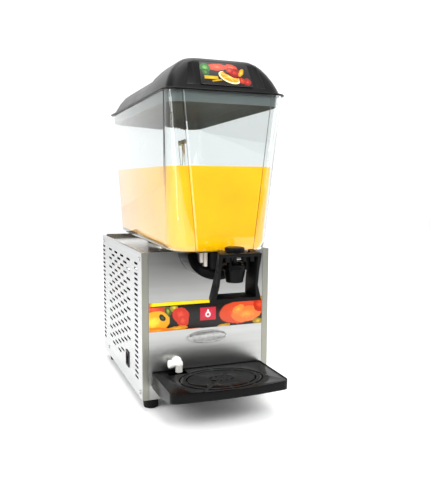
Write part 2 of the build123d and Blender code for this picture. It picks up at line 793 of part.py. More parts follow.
with BuildPart() as bowl:
    for plane, outline, datum in outer_levels:
        with BuildSketch(plane):
            with BuildLine():
                lines, handles = outline_lines(outline, datum)
                for (start, end), quarter in zip(lines, handles):
                    Line(start, end)
                    Bezier(*quarter)
            make_face()
    loft(ruled=True)
    with BuildSketch(tilt_plane.offset(bowl_foot)):
        Rectangle(2 * 49.0, 2 * keystone_proud)
    with BuildSketch(Plane.XY.offset(rim_height - 12)):
        with Locations((0, top_outline[1])):
            Rectangle(2 * 74.0, 2 * keystone_proud)
    loft()
    add(bowl_cavity.part, mode=Mode.SUBTRACT)
    upright(0, drum_y, bowl_bottom_front + 1, ring_top, ring_radius)
    with BuildSketch(tilt_plane):
        with Locations((0, drum_y - bottom_outline[1])):
            Circle(ring_radius + 5)
    extrude(amount=-8, mode=Mode.SUBTRACT)
    upright(0, drum_y, bowl_bottom_front - 2, ring_top, hole_radius, mode=Mode.SUBTRACT)
    upright(0, outlet_y, bowl_bottom_front - 2, bowl_bottom_front + 8, outlet_hole, mode=Mode.SUBTRACT)
bowl.part.label = "bowl"
export_step(bowl.part, "parts/bowl.step")

# Seat gasket between the deck and the bowl
gasket_lip = 64.0
gasket_top = 299.0
gasket_lip_top = underside(drum_y - gasket_lip) - 0.1
with BuildPart() as bowl_gasket:
    upright(0, drum_y, seat_height, gasket_top, hole_radius - loose_gap)
    upright(0, drum_y, seat_height, gasket_lip_top, gasket_lip)
    upright(0, drum_y, seat_height, gasket_top, drum_radius, mode=Mode.SUBTRACT)
bowl_gasket.part.label = "bowl_gasket"
export_step(bowl_gasket.part, "parts/bowl_gasket.step")

# Drip collar under the bowl's outlet: half an ellipse, hung on the front panel
collar_centre_z = 282.0
collar_half = 55.0
collar_drop = 46.0
collar_inner_half = 41.0
collar_inner_drop = 31.0
collar_reach = 54.0
with BuildPart() as drip_collar:
    with BuildSketch(Plane.XZ.offset(-front_y)):
        with Locations((0, collar_centre_z)):
            Ellipse(collar_half, collar_drop)
            Ellipse(collar_inner_half, collar_inner_drop, mode=Mode.SUBTRACT)
        with Locations((0, collar_centre_z + collar_drop / 2)):
            Rectangle(2 * collar_half + 2, collar_drop, mode=Mode.SUBTRACT)
    extrude(amount=collar_reach)
    bar_y(0, front_y - 15, collar_drain_z, 30, hose_radius + running_gap, mode=Mode.SUBTRACT)
    upright(0, front_y - 24, collar_drain_z, collar_centre_z - collar_inner_drop + 1, 3, mode=Mode.SUBTRACT)
drip_collar.part.label = "drip_collar"
export_step(drip_collar.part, "parts/drip_collar.step")

with BuildPart() as drain_hose:
    with BuildLine():
        hose_line = FilletPolyline(
            (0, front_y - 6, collar_drain_z),
            (0, front_y + 30, collar_drain_z),
            (elbow_x, front_y + 30, collar_drain_z - 40),
            (elbow_x, front_y + 30, elbow_z),
            (elbow_x, front_y + 10.2, elbow_z),
            radius=12,
        )
    with BuildSketch(Plane(hose_line @ 0, z_dir=hose_line % 0)):
        Circle(hose_radius)
    sweep(path=hose_line)
drain_hose.part.label = "drain_hose"
export_step(drain_hose.part, "parts/drain_hose.step")

# Outlet: strainer nut inside the bowl, gasket under it, pale clips beside the socket
socket_radius = 18.0
socket_foot = 255.0
socket_lip = 284.0
duct_z = 263.0
duct_radius = 7.9
duct_bore = 6.0
tail_radius = 10.0
nut_foot = 272.0
nut_top = 298.0
with BuildPart() as outlet_nut:
    upright(0, outlet_y, underside(outlet_y) + bowl_floor + 0.4, nut_top, 18)
    fillet(outlet_nut.edges().group_by(Axis.Z)[-1], 2)
    upright(0, outlet_y, nut_foot, nut_top, tail_radius)
    upright(0, outlet_y, nut_foot, nut_top, 7.5, mode=Mode.SUBTRACT)
outlet_nut.part.label = "outlet_nut"
export_step(outlet_nut.part, "parts/outlet_nut.step")

with BuildPart() as outlet_gasket:
    upright(0, outlet_y, socket_lip, underside(outlet_y - 17) - 0.1, 17)
    upright(0, outlet_y, socket_lip, 288, tail_radius + 0.1, mode=Mode.SUBTRACT)
outlet_gasket.part.label = "outlet_gasket"
export_step(outlet_gasket.part, "parts/outlet_gasket.step")

clip_top = underside(outlet_y - 7) - 0.1
with BuildPart() as outlet_clips:
    for side in (-1, 1):
        for inner_x, outer_x, bottom in ((19.5, 25.3, 259.5), (27.0, 33.0, 266.0)):
            edges = sorted((side * inner_x, side * outer_x))
            block((edges[0], outlet_y - 7, bottom), (edges[1], outlet_y + 7, clip_top))
outlet_clips.part.label = "outlet_clips"
export_step(outlet_clips.part, "parts/outlet_clips.step")

# Tap: sleeve with a ribbed tapering nozzle, a duct back to the socket and two pivot ears
nozzle_bottom = 243.4
nozzle_tip = 12.9
sleeve_radius = 17.0
sleeve_foot = 262.0
tap_collar = 19.8
tap_collar_foot = 264.0
tap_collar_top = 272.0
seat_z = 250.0
seat_hole = 8.0
chamber_radius = 12.0
pivot_y = tap_y - 14.0
pivot_z = 282.0
pin_hole = 2.05
pin_bar = 2.0
ear_inner = 12.0
ear_outer = 16.5
ear_radius = 4.0
rib_count = 20
with BuildPart() as tap_body:
    with BuildSketch(Plane.XY.offset(nozzle_bottom)):
        with Locations((0, tap_y)):
            Circle(nozzle_tip)
    with BuildSketch(Plane.XY.offset(sleeve_foot)):
        with Locations((0, tap_y)):
            Circle(sleeve_radius)
    loft()
    upright(0, tap_y, sleeve_foot, tap_collar_top, sleeve_radius)
    upright(0, tap_y, tap_collar_foot, tap_collar_top, tap_collar)
    upright(0, outlet_y, socket_foot, socket_lip, socket_radius)
    bar_y(0, (tap_y + outlet_y) / 2, duct_z, outlet_y - tap_y, duct_radius)
    for side in (-1, 1):
        edges = sorted((side * ear_inner, side * ear_outer))
        block((edges[0], pivot_y, tap_collar_foot), (edges[1], pivot_y + 5, pivot_z))
        bar_x(side * (ear_inner + ear_outer) / 2, pivot_y, pivot_z, ear_outer - ear_inner, ear_radius)
    upright(0, tap_y, nozzle_bottom, seat_z, seat_hole, mode=Mode.SUBTRACT)
    upright(0, tap_y, seat_z, tap_collar_top + 1, chamber_radius, mode=Mode.SUBTRACT)
    upright(0, outlet_y, duct_z - duct_bore + 1, socket_lip, tail_radius + 0.1, mode=Mode.SUBTRACT)
    bar_y(0, (tap_y + outlet_y) / 2, duct_z, outlet_y - tap_y, duct_bore, mode=Mode.SUBTRACT)
    bar_x(0, pivot_y, pivot_z, 60, pin_hole, mode=Mode.SUBTRACT)
tap_body.part.label = "tap_body"
export_step(tap_body.part, "parts/tap_body.step")

stem_radius = 4.5
gland_foot = 268.0
gland_top = 276.5
with BuildPart() as tap_gland:
    upright(0, tap_y, gland_foot, gland_top, chamber_radius - 0.1)
    upright(0, tap_y, gland_foot, gland_top, stem_radius + running_gap, mode=Mode.SUBTRACT)
tap_gland.part.label = "tap_gland"
export_step(tap_gland.part, "parts/tap_gland.step")

with BuildPart() as lever_pin:
    bar_x(0, pivot_y, pivot_z, 46, pin_bar)
lever_pin.part.label = "lever_pin"
export_step(lever_pin.part, "parts/lever_pin.step")

# Piston: poppet head, rubber seal, stem and the knob on top
head_radius = 9.5
head_foot = seat_z + 2.3
head_top = 257.0
knob_foot = 286.3
knob_top = 299.0
cap_radius = 15.7
stem_top = 293.0
with BuildPart() as piston:
    upright(0, tap_y, head_foot, head_top, head_radius)
    upright(0, tap_y, head_top, stem_top, stem_radius)
piston.part.label = "piston"
export_step(piston.part, "parts/piston.step")

with BuildPart() as piston_seal:
    upright(0, tap_y, seat_z + loose_gap, head_foot, head_radius)
piston_seal.part.label = "piston_seal"
export_step(piston_seal.part, "parts/piston_seal.step")

with BuildPart() as piston_knob:
    upright(0, tap_y, knob_foot, knob_top, cap_radius)
    fillet(piston_knob.edges().group_by(Axis.Z)[-1], 2)
    upright(0, tap_y, knob_foot, stem_top, stem_radius, mode=Mode.SUBTRACT)
piston_knob.part.label = "piston_knob"
export_step(piston_knob.part, "parts/piston_knob.step")

spring_wire = 0.8
spring_radius = 7.2
with BuildPart() as tap_spring:
    with BuildLine(Plane((0, tap_y, head_top + spring_wire + 0.1))):
        spring_line = Helix(2.2, gland_foot - head_top - 2 * spring_wire - 0.2, spring_radius)
    with BuildSketch(Plane(spring_line @ 0, z_dir=spring_line % 0)):
        Circle(spring_wire)
    sweep(path=spring_line, is_frenet=True)
tap_spring.part.label = "tap_spring"
export_step(tap_spring.part, "parts/tap_spring.step")

# Push lever: a stirrup whose legs open towards the front, two prongs under the knob
lever_lean = 12.5
lever_front = front_y - lever_reach + 2.2
lever_rear = tap_y - 1.0
front_outer = [(36, 293), (34.5, 262), (35, 240), (44, 213)]
rear_outer = [(30, 293), (31, 262), (34, 240), (38, 213)]
front_inner = [(30, 288), (30, 262), (30.5, 240), (34, 219)]
rear_inner = [(21.6, 288), (22, 262), (22.5, 240), (24, 219)]
web_rear = pivot_y - 5.2
web_core = 290.0
prong_inner = 5.5
prong_outer = 10.5
hub_inner = 17.2
hub_outer = 24.0


def both_sides(points):
    # a closed outline from its right half
    return points + [(-x, z) for x, z in reversed(points)]


with BuildPart() as lever_window:
    for reach, points in ((lever_front, front_inner), (lever_rear, rear_inner)):
        with BuildSketch(Plane.XZ.offset(-reach)):
            Polygon(*both_sides(points), align=None)
    loft()

with BuildPart() as stirrup:
    for reach, points in ((lever_front, front_outer), (lever_rear, rear_outer)):
        with BuildSketch(Plane.XZ.offset(-reach)):
            Polygon(*both_sides(points), align=None)
    loft()
    add(lever_window.part, mode=Mode.SUBTRACT)

with BuildPart() as lever:
    add(stirrup.part.rotate(Axis((0, pivot_y, pivot_z), (1, 0, 0)), lever_lean))
    block((-21.6, web_rear, 250), (21.6, lever_rear + 1, 300), mode=Mode.SUBTRACT)
    for side in (-1, 1):
        edges = sorted((side * prong_inner, side * prong_outer))
        block((edges[0], lever_front + 1, pivot_z - 4), (edges[1], tap_y, pivot_z + 4))
        block((edges[0], lever_front + 1, pivot_z), (edges[1], web_rear, web_core))
        bar_x(side * (prong_inner + prong_outer) / 2, tap_y, pivot_z, prong_outer - prong_inner, 4)
        edges = sorted((side * hub_inner, side * hub_outer))
        block((edges[0], lever_front + 1, pivot_z - 4), (edges[1], pivot_y, pivot_z + 4))
        block((edges[0], lever_front + 1, pivot_z), (edges[1], web_rear, web_core))
        bar_x(side * (hub_inner + hub_outer) / 2, pivot_y, pivot_z, hub_outer - hub_inner, 4)
    bar_x(0, pivot_y, pivot_z, 2 * hub_outer, pin_hole, mode=Mode.SUBTRACT)
lever.part.label = "lever"
export_step(lever.part, "parts/lever.step")

# Lid: flange over the rim, skirt inside it, a low rear dome and a taller front hump, all hollow
flange_half = 105.7
flange_front = front_y - 95.0
flange_back = front_y + 339.0
flange_top = rim_height + 3.0
skirt_half = 97.4
skirt_front = front_y - 87.6
skirt_back = front_y + 329.6
skirt_bottom = 524.0
skirt_wall = 2.5
skirt_corner = 26.0
lid_wall = 3.0
dome_base = (98.0, front_y + 10, front_y + 331)
dome_crown = (76.0, front_y + 34, front_y + 286)
dome_height = 580.0
hump_base = (98.0, front_y - 91, front_y + 112)
hump_crown = (60.0, front_y - 61, front_y + 34)


def placed_rectangle(half, front, back, corner):
    # a rounded rectangle between two places along Y
    with Locations((0, (front + back) / 2)):
        RectangleRounded(2 * half, back - front, corner)


with BuildPart() as lid_hollow:
    with BuildSketch(Plane.XY.offset(rim_height)):
        placed_rectangle(dome_base[0] - 4, dome_base[1] + 4, dome_base[2] - 4, 16)
    with BuildSketch(Plane.XY.offset(dome_height - lid_wall)):
        placed_rectangle(dome_crown[0] - 3, dome_crown[1] + 3, dome_crown[2] - 3, 16)
    loft()
    with BuildSketch(Plane.XY.offset(rim_height)):
        placed_rectangle(hump_base[0] - 4, hump_base[1] + 4, hump_base[2] - 4, 14)
    with BuildSketch(Plane.XY.offset(lid_height - lid_wall)):
        placed_rectangle(hump_crown[0] - 3, hump_crown[1] + 3, hump_crown[2] - 3, 14)
    loft()

with BuildPart() as lid:
    with BuildSketch(Plane.XY.offset(rim_height)):
        placed_rectangle(flange_half, flange_front, flange_back, 24)
    extrude(amount=flange_top - rim_height)
    with BuildSketch(Plane.XY.offset(flange_top)):
        placed_rectangle(*dome_base, 20)
    with BuildSketch(Plane.XY.offset(dome_height)):
        placed_rectangle(*dome_crown, 20)
    loft()
    with BuildSketch(Plane.XY.offset(flange_top)):
        placed_rectangle(*hump_base, 18)
    with BuildSketch(Plane.XY.offset(lid_height)):
        placed_rectangle(*hump_crown, 18)
    loft()
    add(lid_hollow.part, mode=Mode.SUBTRACT)
    with BuildSketch(Plane.XY.offset(skirt_bottom)):
        placed_rectangle(skirt_half, skirt_front, skirt_back, skirt_corner)
        with Locations((0, (skirt_front + skirt_back) / 2)):
            RectangleRounded(
                2 * (skirt_half - skirt_wall),
                skirt_back - skirt_front - 2 * skirt_wall,
                skirt_corner - skirt_wall,
                mode=Mode.SUBTRACT,
            )
    extrude(amount=rim_height - skirt_bottom)
lid.part.label = "lid"
export_step(lid.part, "parts/lid.step")

# Picture panel on the sloping front of the hump
slope_middle = (0, (hump_base[1] + hump_crown[1]) / 2, (flange_top + lid_height) / 2)
slope_normal = (0, flange_top - lid_height, hump_crown[1] - hump_base[1])
with BuildPart() as lid_picture:
    with BuildSketch(Plane(slope_middle, x_dir=(1, 0, 0), z_dir=slope_normal)):
        Polygon((-44, -21), (44, -21), (40.5, 21), (-40.5, 21), align=None)
    extrude(amount=0.8)
lid_picture.part.label = "lid_picture"
export_step(lid_picture.part, "parts/lid_picture.step")

# Drip tray with a sloping underside, its grate, and the rails it slides on
tray_half = 104.0
tray_side_reach = 120.0
tray_top = 70.0
tray_foot = 42.0
tray_lip = 56.6
tray_flat = 60.0
tray_wall = 3.0
grate_seat = 66.0
grate_thickness = 3.0
tray_gap = 0.5
notch_reach = 27.0
notch_left = elbow_x - elbow_stub - 1.6
notch_right = elbow_x + 13.0
with BuildSketch() as tray_outline:
    with BuildLine():
        Polyline(
            (-tray_half, front_y - tray_side_reach),
            (-tray_half, front_y - tray_gap),
            (tray_half, front_y - tray_gap),
            (tray_half, front_y - tray_side_reach),
        )
        ThreePointArc(
            (tray_half, front_y - tray_side_reach),
            (0, front_y - tray_reach),
            (-tray_half, front_y - tray_side_reach),
        )
    make_face()
    fillet(tray_outline.vertices().group_by(Axis.Y)[0], 14)
    fillet(tray_outline.vertices().group_by(Axis.Y)[-1], 6)
under_slope = [
    (front_y - tray_flat, tray_foot - 1),
    (front_y - tray_reach - 1, tray_foot - 1),
    (front_y - tray_reach - 1, tray_lip),
    (front_y - tray_flat, tray_foot),
]
floor_slope = [(y, z + tray_wall) for y, z in under_slope]

with BuildPart() as tray_hollow:
    with BuildSketch(Plane.XY.offset(tray_foot + tray_wall)):
        add(tray_outline.sketch)
        offset(amount=-tray_wall, mode=Mode.REPLACE)
    extrude(amount=tray_top - tray_foot - tray_wall)
    with BuildSketch(Plane.YZ):
        Polygon(*floor_slope, align=None)
    extrude(amount=tray_half, both=True, mode=Mode.SUBTRACT)
    with BuildSketch(Plane.XY.offset(grate_seat)):
        add(tray_outline.sketch)
        offset(amount=-tray_wall + 1.5, mode=Mode.REPLACE)
    extrude(amount=tray_top - grate_seat)

with BuildPart() as drip_tray:
    with BuildSketch(Plane.XY.offset(tray_foot)):
        add(tray_outline.sketch)
    extrude(amount=tray_top - tray_foot)
    with BuildSketch(Plane.YZ):
        Polygon(*under_slope, align=None)
    extrude(amount=tray_half + 1, both=True, mode=Mode.SUBTRACT)
    add(tray_hollow.part, mode=Mode.SUBTRACT)
drip_tray.part.label = "drip_tray"
export_step(drip_tray.part, "parts/drip_tray.step")

oval_centre = front_y - 70.0
drain_ovals = [(74, 53), (62, 44), (22, 13), (12, 6)]
oval_slot = 2.4
bridge = 5.0
with BuildSketch() as oval_slots:
    with Locations((0, oval_centre)):
        for reach, depth in drain_ovals:
            Ellipse(reach, depth)
            Ellipse(reach - oval_slot, depth - oval_slot, mode=Mode.SUBTRACT)
        for turn in (0, 45, 90, 135):
            Rectangle(4 * tray_half, bridge, rotation=turn, mode=Mode.SUBTRACT)

with BuildPart() as grate:
    with BuildSketch(Plane.XY.offset(grate_seat)):
        add(tray_outline.sketch)
        offset(amount=-tray_wall + 1.0, mode=Mode.REPLACE)
        add(oval_slots.sketch, mode=Mode.SUBTRACT)
        with Locations(((notch_left + notch_right) / 2, front_y)):
            Rectangle(notch_right - notch_left, 2 * notch_reach, mode=Mode.SUBTRACT)
    extrude(amount=grate_thickness)
grate.part.label = "grate"
export_step(grate.part, "parts/grate.step")

with BuildPart() as tray_rails:
    for side in (-1, 1):
        block(
            (side * rail_x - 8, front_y - tray_flat + 4, tray_foot - 2),
            (side * rail_x + 8, front_y, tray_foot),
        )
        block((side * rail_x - 8, front_y - 2, tray_foot - 12), (side * rail_x + 8, front_y, tray_foot - 2))
tray_rails.part.label = "tray_rails"
export_step(tray_rails.part, "parts/tray_rails.step")
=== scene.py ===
import json
import math
import bmesh
import bpy
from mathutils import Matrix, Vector

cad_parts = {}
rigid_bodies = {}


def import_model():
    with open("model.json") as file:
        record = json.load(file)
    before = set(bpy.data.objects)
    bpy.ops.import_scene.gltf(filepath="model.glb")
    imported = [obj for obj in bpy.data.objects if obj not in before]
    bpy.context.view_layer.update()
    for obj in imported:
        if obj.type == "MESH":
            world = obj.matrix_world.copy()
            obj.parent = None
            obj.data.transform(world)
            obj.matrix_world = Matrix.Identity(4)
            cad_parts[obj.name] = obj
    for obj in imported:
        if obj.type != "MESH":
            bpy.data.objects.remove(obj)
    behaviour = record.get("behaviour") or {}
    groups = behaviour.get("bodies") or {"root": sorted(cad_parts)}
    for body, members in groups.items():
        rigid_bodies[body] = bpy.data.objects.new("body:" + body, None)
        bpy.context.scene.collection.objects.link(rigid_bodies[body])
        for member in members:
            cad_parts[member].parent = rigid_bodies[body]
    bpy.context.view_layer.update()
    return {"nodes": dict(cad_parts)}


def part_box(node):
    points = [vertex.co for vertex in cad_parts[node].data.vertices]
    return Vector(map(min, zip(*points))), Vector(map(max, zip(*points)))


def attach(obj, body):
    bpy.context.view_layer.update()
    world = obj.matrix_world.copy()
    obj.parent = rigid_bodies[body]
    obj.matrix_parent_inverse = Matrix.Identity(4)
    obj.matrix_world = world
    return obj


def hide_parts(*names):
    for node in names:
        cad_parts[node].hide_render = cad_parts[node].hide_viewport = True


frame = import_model()
mm = 0.001


def place(node):
    # lowest and highest corner of a CAD node, in millimetres
    low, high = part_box(node)
    return low / mm, high / mm


frontY = place("front_panel")[0].y  # face of the cabinet's front
rimZ = place("bowl")[1].z
tapY = (place("piston_knob")[0].y + place("piston_knob")[1].y) / 2
drumY = (place("evaporator_drum")[0].y + place("evaporator_drum")[1].y) / 2
outletY = (place("outlet_nut")[0].y + place("outlet_nut")[1].y) / 2
print("frame loaded", round(frontY, 1), round(tapY, 1), round(drumY, 1), round(rimZ, 1))


def startBox(name, low, high):
    # a box from its lowest and highest corner, to be shaped further
    bpy.ops.object.select_all(action="DESELECT")
    centre = [(a + b) / 2 * mm for a, b in zip(low, high)]
    bpy.ops.mesh.primitive_cube_add(size=1, location=centre)
    piece = bpy.context.active_object
    piece.name = name
    piece.scale = [(b - a) * mm for a, b in zip(low, high)]
    bpy.ops.object.transform_apply(location=True, rotation=True, scale=True)
    return piece


def edit(piece):
    # opens a piece for edit mode work
    if piece.mode != "EDIT":
        bpy.context.view_layer.objects.active = piece
        bpy.ops.object.mode_set(mode="EDIT")


def pick(piece, kind, test):
    # selects the faces, edges or vertices whose middle and direction pass the test
    edit(piece)
    bpy.ops.mesh.select_mode(type=kind)
    bpy.ops.mesh.select_all(action="DESELECT")
    shape = bmesh.from_edit_mesh(piece.data)
    if kind == "FACE":
        for face in shape.faces:
            face.select = bool(test(face.calc_center_median() / mm, face.normal))
    elif kind == "EDGE":
        for edge in shape.edges:
            first, second = edge.verts
            run = (second.co - first.co).normalized()
            edge.select = bool(test((first.co + second.co) / 2 / mm, run))
    else:
        for vertex in shape.verts:
            vertex.select = bool(test(vertex.co / mm, vertex.normal))
    shape.select_flush_mode()
    bmesh.update_edit_mesh(piece.data)


def move(x=0, y=0, z=0):
    bpy.ops.transform.translate(value=(x * mm, y * mm, z * mm))


def stretch(x, y, z, centre):
    bpy.ops.transform.resize(value=(x, y, z), center_override=[c * mm for c in centre])


def extrude(x=0, y=0, z=0):
    bpy.ops.mesh.extrude_region_move(TRANSFORM_OT_translate={"value": (x * mm, y * mm, z * mm)})


def roundEdges(width, segments=3, kind="EDGES"):
    bpy.ops.mesh.bevel(
        offset=width * mm, offset_type="OFFSET", segments=segments, profile=0.5, affect=kind
    )


def leave(piece):
    # back to object mode, with only this piece selected
    if piece.mode == "EDIT":
        bpy.ops.object.mode_set(mode="OBJECT")
    bpy.ops.object.select_all(action="DESELECT")
    piece.select_set(True)
    bpy.context.view_layer.objects.active = piece


def facesOut(piece):
    # merges doubles and turns every face outwards
    edit(piece)
    bpy.ops.mesh.select_all(action="SELECT")
    bpy.ops.mesh.remove_doubles(threshold=0.00001)
    bpy.ops.mesh.normals_make_consistent(inside=False)
    leave(piece)


def soften(piece, width, segments=2, angle=40):
    # a small bevel on every crease, applied at once
    leave(piece)
    bevel = piece.modifiers.new("soften", "BEVEL")
    bevel.width = width * mm
    bevel.segments = segments
    bevel.limit_method = "ANGLE"
    bevel.angle_limit = math.radians(angle)
    bevel.harden_normals = False
    bpy.ops.object.modifier_apply(modifier=bevel.name)


def turned(name, centre, steps, sides=48, toward="Z"):
    # a round piece, drawn out of a circle: steps are (radius, height) from the centre
    bpy.ops.object.select_all(action="DESELECT")
    bpy.ops.mesh.primitive_circle_add(
        vertices=sides,
        radius=steps[0][0] * mm,
        fill_type="NGON",
        location=(0, 0, steps[0][1] * mm),
    )
    piece = bpy.context.active_object
    piece.name = name
    bpy.ops.object.transform_apply(location=True, rotation=True, scale=True)
    edit(piece)
    bpy.ops.mesh.select_all(action="SELECT")
    radius, height = steps[0]
    for nextRadius, nextHeight in steps[1:]:
        extrude(z=nextHeight - height)
        grow = nextRadius / radius
        stretch(grow, grow, 1, (0, 0, nextHeight))
        radius, height = nextRadius, nextHeight
    facesOut(piece)
    quarter = math.pi / 2
    turns = {"Z": (0, 0, 0), "-Y": (quarter, 0, 0), "X": (0, quarter, 0), "-X": (0, -quarter, 0)}
    piece.rotation_euler = turns[toward]
    piece.location = [c * mm for c in centre]
    bpy.ops.object.transform_apply(location=True, rotation=True, scale=True)
    return piece


def cut(piece, tools, operation="DIFFERENCE"):
    # joins or cuts with other pieces, which are used up
    for tool in tools:
        leave(piece)
        work = piece.modifiers.new("cut", "BOOLEAN")
        work.operation = operation
        work.solver = "EXACT"
        work.object = tool
        bpy.ops.object.modifier_apply(modifier=work.name)
        bpy.data.objects.remove(tool)
    return piece


def joined(name, parts):
    # several pieces as one
    bpy.ops.object.select_all(action="DESELECT")
    for part in parts:
        part.select_set(True)
    bpy.context.view_layer.objects.active = parts[0]
    bpy.ops.object.join()
    piece = bpy.context.active_object
    piece.name = name
    return piece


def done(piece, material, body, nodes, angle):
    # finish, body, the CAD nodes it stands for and the smoothing angle
    leave(piece)
    bpy.ops.object.shade_smooth_by_angle(angle=math.radians(angle))
    piece.data.materials.clear()
    piece.data.materials.append(material)
    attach(piece, body)
    if nodes:
        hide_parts(*nodes)
    print("made", piece.name)


near = 0.01  # how close counts as the same place, in millimetres
panelSlope = 2.4  # width of the raised panel's sloping edge


def ring(name, z, half, front, back, cornerX, cornerY, rear, panel=None):
    # a flat outline: elliptical front corners, round rear corners, and a raised panel in the front
    squash = cornerX / cornerY
    bpy.ops.object.select_all(action="DESELECT")
    bpy.ops.mesh.primitive_plane_add(size=2, location=(0, 0, z * mm))
    piece = bpy.context.active_object
    piece.name = name
    deep = (back - front) * squash
    piece.scale = (half * mm, deep / 2 * mm, 1)
    bpy.ops.object.transform_apply(location=True, rotation=True, scale=True)
    pick(piece, "VERT", lambda at, out: at.y < 0)
    roundEdges(cornerX, 8, "VERTICES")
    bpy.ops.mesh.select_all(action="SELECT")
    stretch(1, 1 / squash, 1, (0, 0, z))
    pick(piece, "VERT", lambda at, out: at.y > (back - front) / 2 - 0.1)
    roundEdges(rear, 6, "VERTICES")
    bpy.ops.mesh.select_all(action="SELECT")
    move(y=(front + back) / 2)
    if panel:
        width, proud = panel
        pick(piece, "EDGE", lambda at, run: abs(at.y - front) < near and abs(run.x) > 0.99)
        bpy.ops.mesh.subdivide(number_cuts=4)
        points = [v.co / mm for v in bmesh.from_edit_mesh(piece.data).verts]
        places = sorted(at.x for at in points if abs(at.y - front) < near)
        targets = [-width - panelSlope, -width, width, width + panelSlope]
        for start, target in zip(places[1:-1], targets):
            pick(piece, "VERT", lambda at, out: abs(at.x - start) < near and abs(at.y - front) < near)
            move(x=target - start, y=-proud if abs(target) <= width else 0)
    leave(piece)
    return piece


def lofted(name, rings):
    # outlines with the same number of points, bridged one after the other
    piece = joined(name, rings)
    edit(piece)
    bpy.ops.mesh.select_mode(type="FACE")
    bpy.ops.mesh.select_all(action="SELECT")
    bpy.ops.mesh.delete(type="ONLY_FACE")
    bpy.ops.mesh.select_mode(type="EDGE")
    heights = sorted({round(v.co.z / mm, 3) for v in bmesh.from_edit_mesh(piece.data).verts})
    for low, high in zip(heights[:-1], heights[1:]):
        pick(piece, "EDGE", lambda at, run: min(abs(at.z - low), abs(at.z - high)) < near and abs(run.z) < near)
        bpy.ops.mesh.bridge_edge_loops()
    for height in (heights[0], heights[-1]):
        pick(piece, "EDGE", lambda at, run: abs(at.z - height) < near and abs(run.z) < near)
        bpy.ops.mesh.edge_face_add()
    facesOut(piece)
    return piece


def tone(code):
    # an sRGB hex colour as linear light
    parts = [int(code[i:i + 2], 16) / 255 for i in (0, 2, 4)]
    return [c / 12.92 if c <= 0.04045 else ((c + 0.055) / 1.055) ** 2.4 for c in parts] + [1]


def darker(colour, share):
    return [c * share for c in colour[:3]] + [1]


def addNode(tree, kind, settings=None, inputs=None):
    # adds a node: settings are its own values, colour stops or sockets, and inputs are values or other outputs
    node = tree.nodes.new(kind)
    for key, value in (settings or {}).items():
        if key == "stops":
            bar = node.color_ramp.elements
            while len(bar) < len(value):
                bar.new(0.5)
            for stop, (at, colour) in zip(bar, value):
                stop.position = at
                stop.color = colour
        elif isinstance(key, int) or key in node.inputs:
            node.inputs[key].default_value = value
        else:
            setattr(node, key, value)
    for key, source in (inputs or {}).items():
        if isinstance(source, bpy.types.NodeSocket):
            tree.links.new(source, node.inputs[key])
        else:
            node.inputs[key].default_value = source
    return node


def startMaterial(name, **values):
    # a new material with its shader's own sockets set, and the place on the object in metres
    material = bpy.data.materials.new(name)
    material.use_nodes = True
    tree = material.node_tree
    shader = tree.nodes["Principled BSDF"]
    for key, value in values.items():
        shader.inputs[key.replace("_", " ")].default_value = value
    return material, tree, shader, addNode(tree, "ShaderNodeTexCoord").outputs["Object"]


def feed(tree, shader, sources):
    # links node outputs to the shader's sockets
    for key, source in sources.items():
        tree.links.new(source, shader.inputs[key])


def grey(value):
    return (value, value, value, 1)


def brushedSteel(name, colour, along, roughness, flange=None):
    # stainless sheet, grit 180 brushed: fine straight lines that stretch the reflections across them
    # the lines are about 1 mm apart, coarser than the real 0.1 mm, so that they show
    material, tree, shader, point = startMaterial(name, Metallic=1.0, Anisotropic=0.7)
    fine = {"X": (8, 900, 900), "Y": (900, 8, 900)}[along]
    wide = {"X": (1.5, 120, 120), "Y": (120, 1.5, 120)}[along]
    finePoint = addNode(tree, "ShaderNodeMapping", {"Scale": fine}, {"Vector": point}).outputs[0]
    widePoint = addNode(tree, "ShaderNodeMapping", {"Scale": wide}, {"Vector": point}).outputs[0]
    lines = addNode(tree, "ShaderNodeTexNoise", {"Scale": 1.0, "Detail": 3.0}, {"Vector": finePoint}).outputs[0]
    bands = addNode(tree, "ShaderNodeTexNoise", {"Scale": 1.0, "Detail": 2.0}, {"Vector": widePoint}).outputs[0]
    tones = {"stops": [(0.2, darker(tone(colour), 0.9)), (0.8, tone(colour))]}
    base = addNode(tree, "ShaderNodeValToRGB", tones, {0: bands}).outputs[0]
    if flange:
        # painted shade: the folded edge in front is given a darker colour for the less light it sends back, being
        # brushed the other way
        depth = addNode(tree, "ShaderNodeSeparateXYZ", {}, {0: point}).outputs[1]
        edge = {"operation": "LESS_THAN", 1: (frontY + 0.6) * mm}
        inFront = addNode(tree, "ShaderNodeMath", edge, {0: depth}).outputs[0]
        sides = {0: inFront, 6: base, 7: tone(flange)}
        base = addNode(tree, "ShaderNodeMix", {"data_type": "RGBA"}, sides).outputs[2]
    span = {"To Min": roughness - 0.06, "To Max": roughness + 0.1}
    rough = addNode(tree, "ShaderNodeMapRange", span, {"Value": lines}).outputs[0]
    relief = addNode(tree, "ShaderNodeBump", {"Distance": 0.02 * mm, "Strength": 0.3}, {"Height": lines}).outputs[0]
    grain = addNode(tree, "ShaderNodeCombineXYZ", {"XYZ".index(along): 1.0}).outputs[0]
    feed(tree, shader, {"Base Color": base, "Roughness": rough, "Normal": relief, "Tangent": grain})
    return material


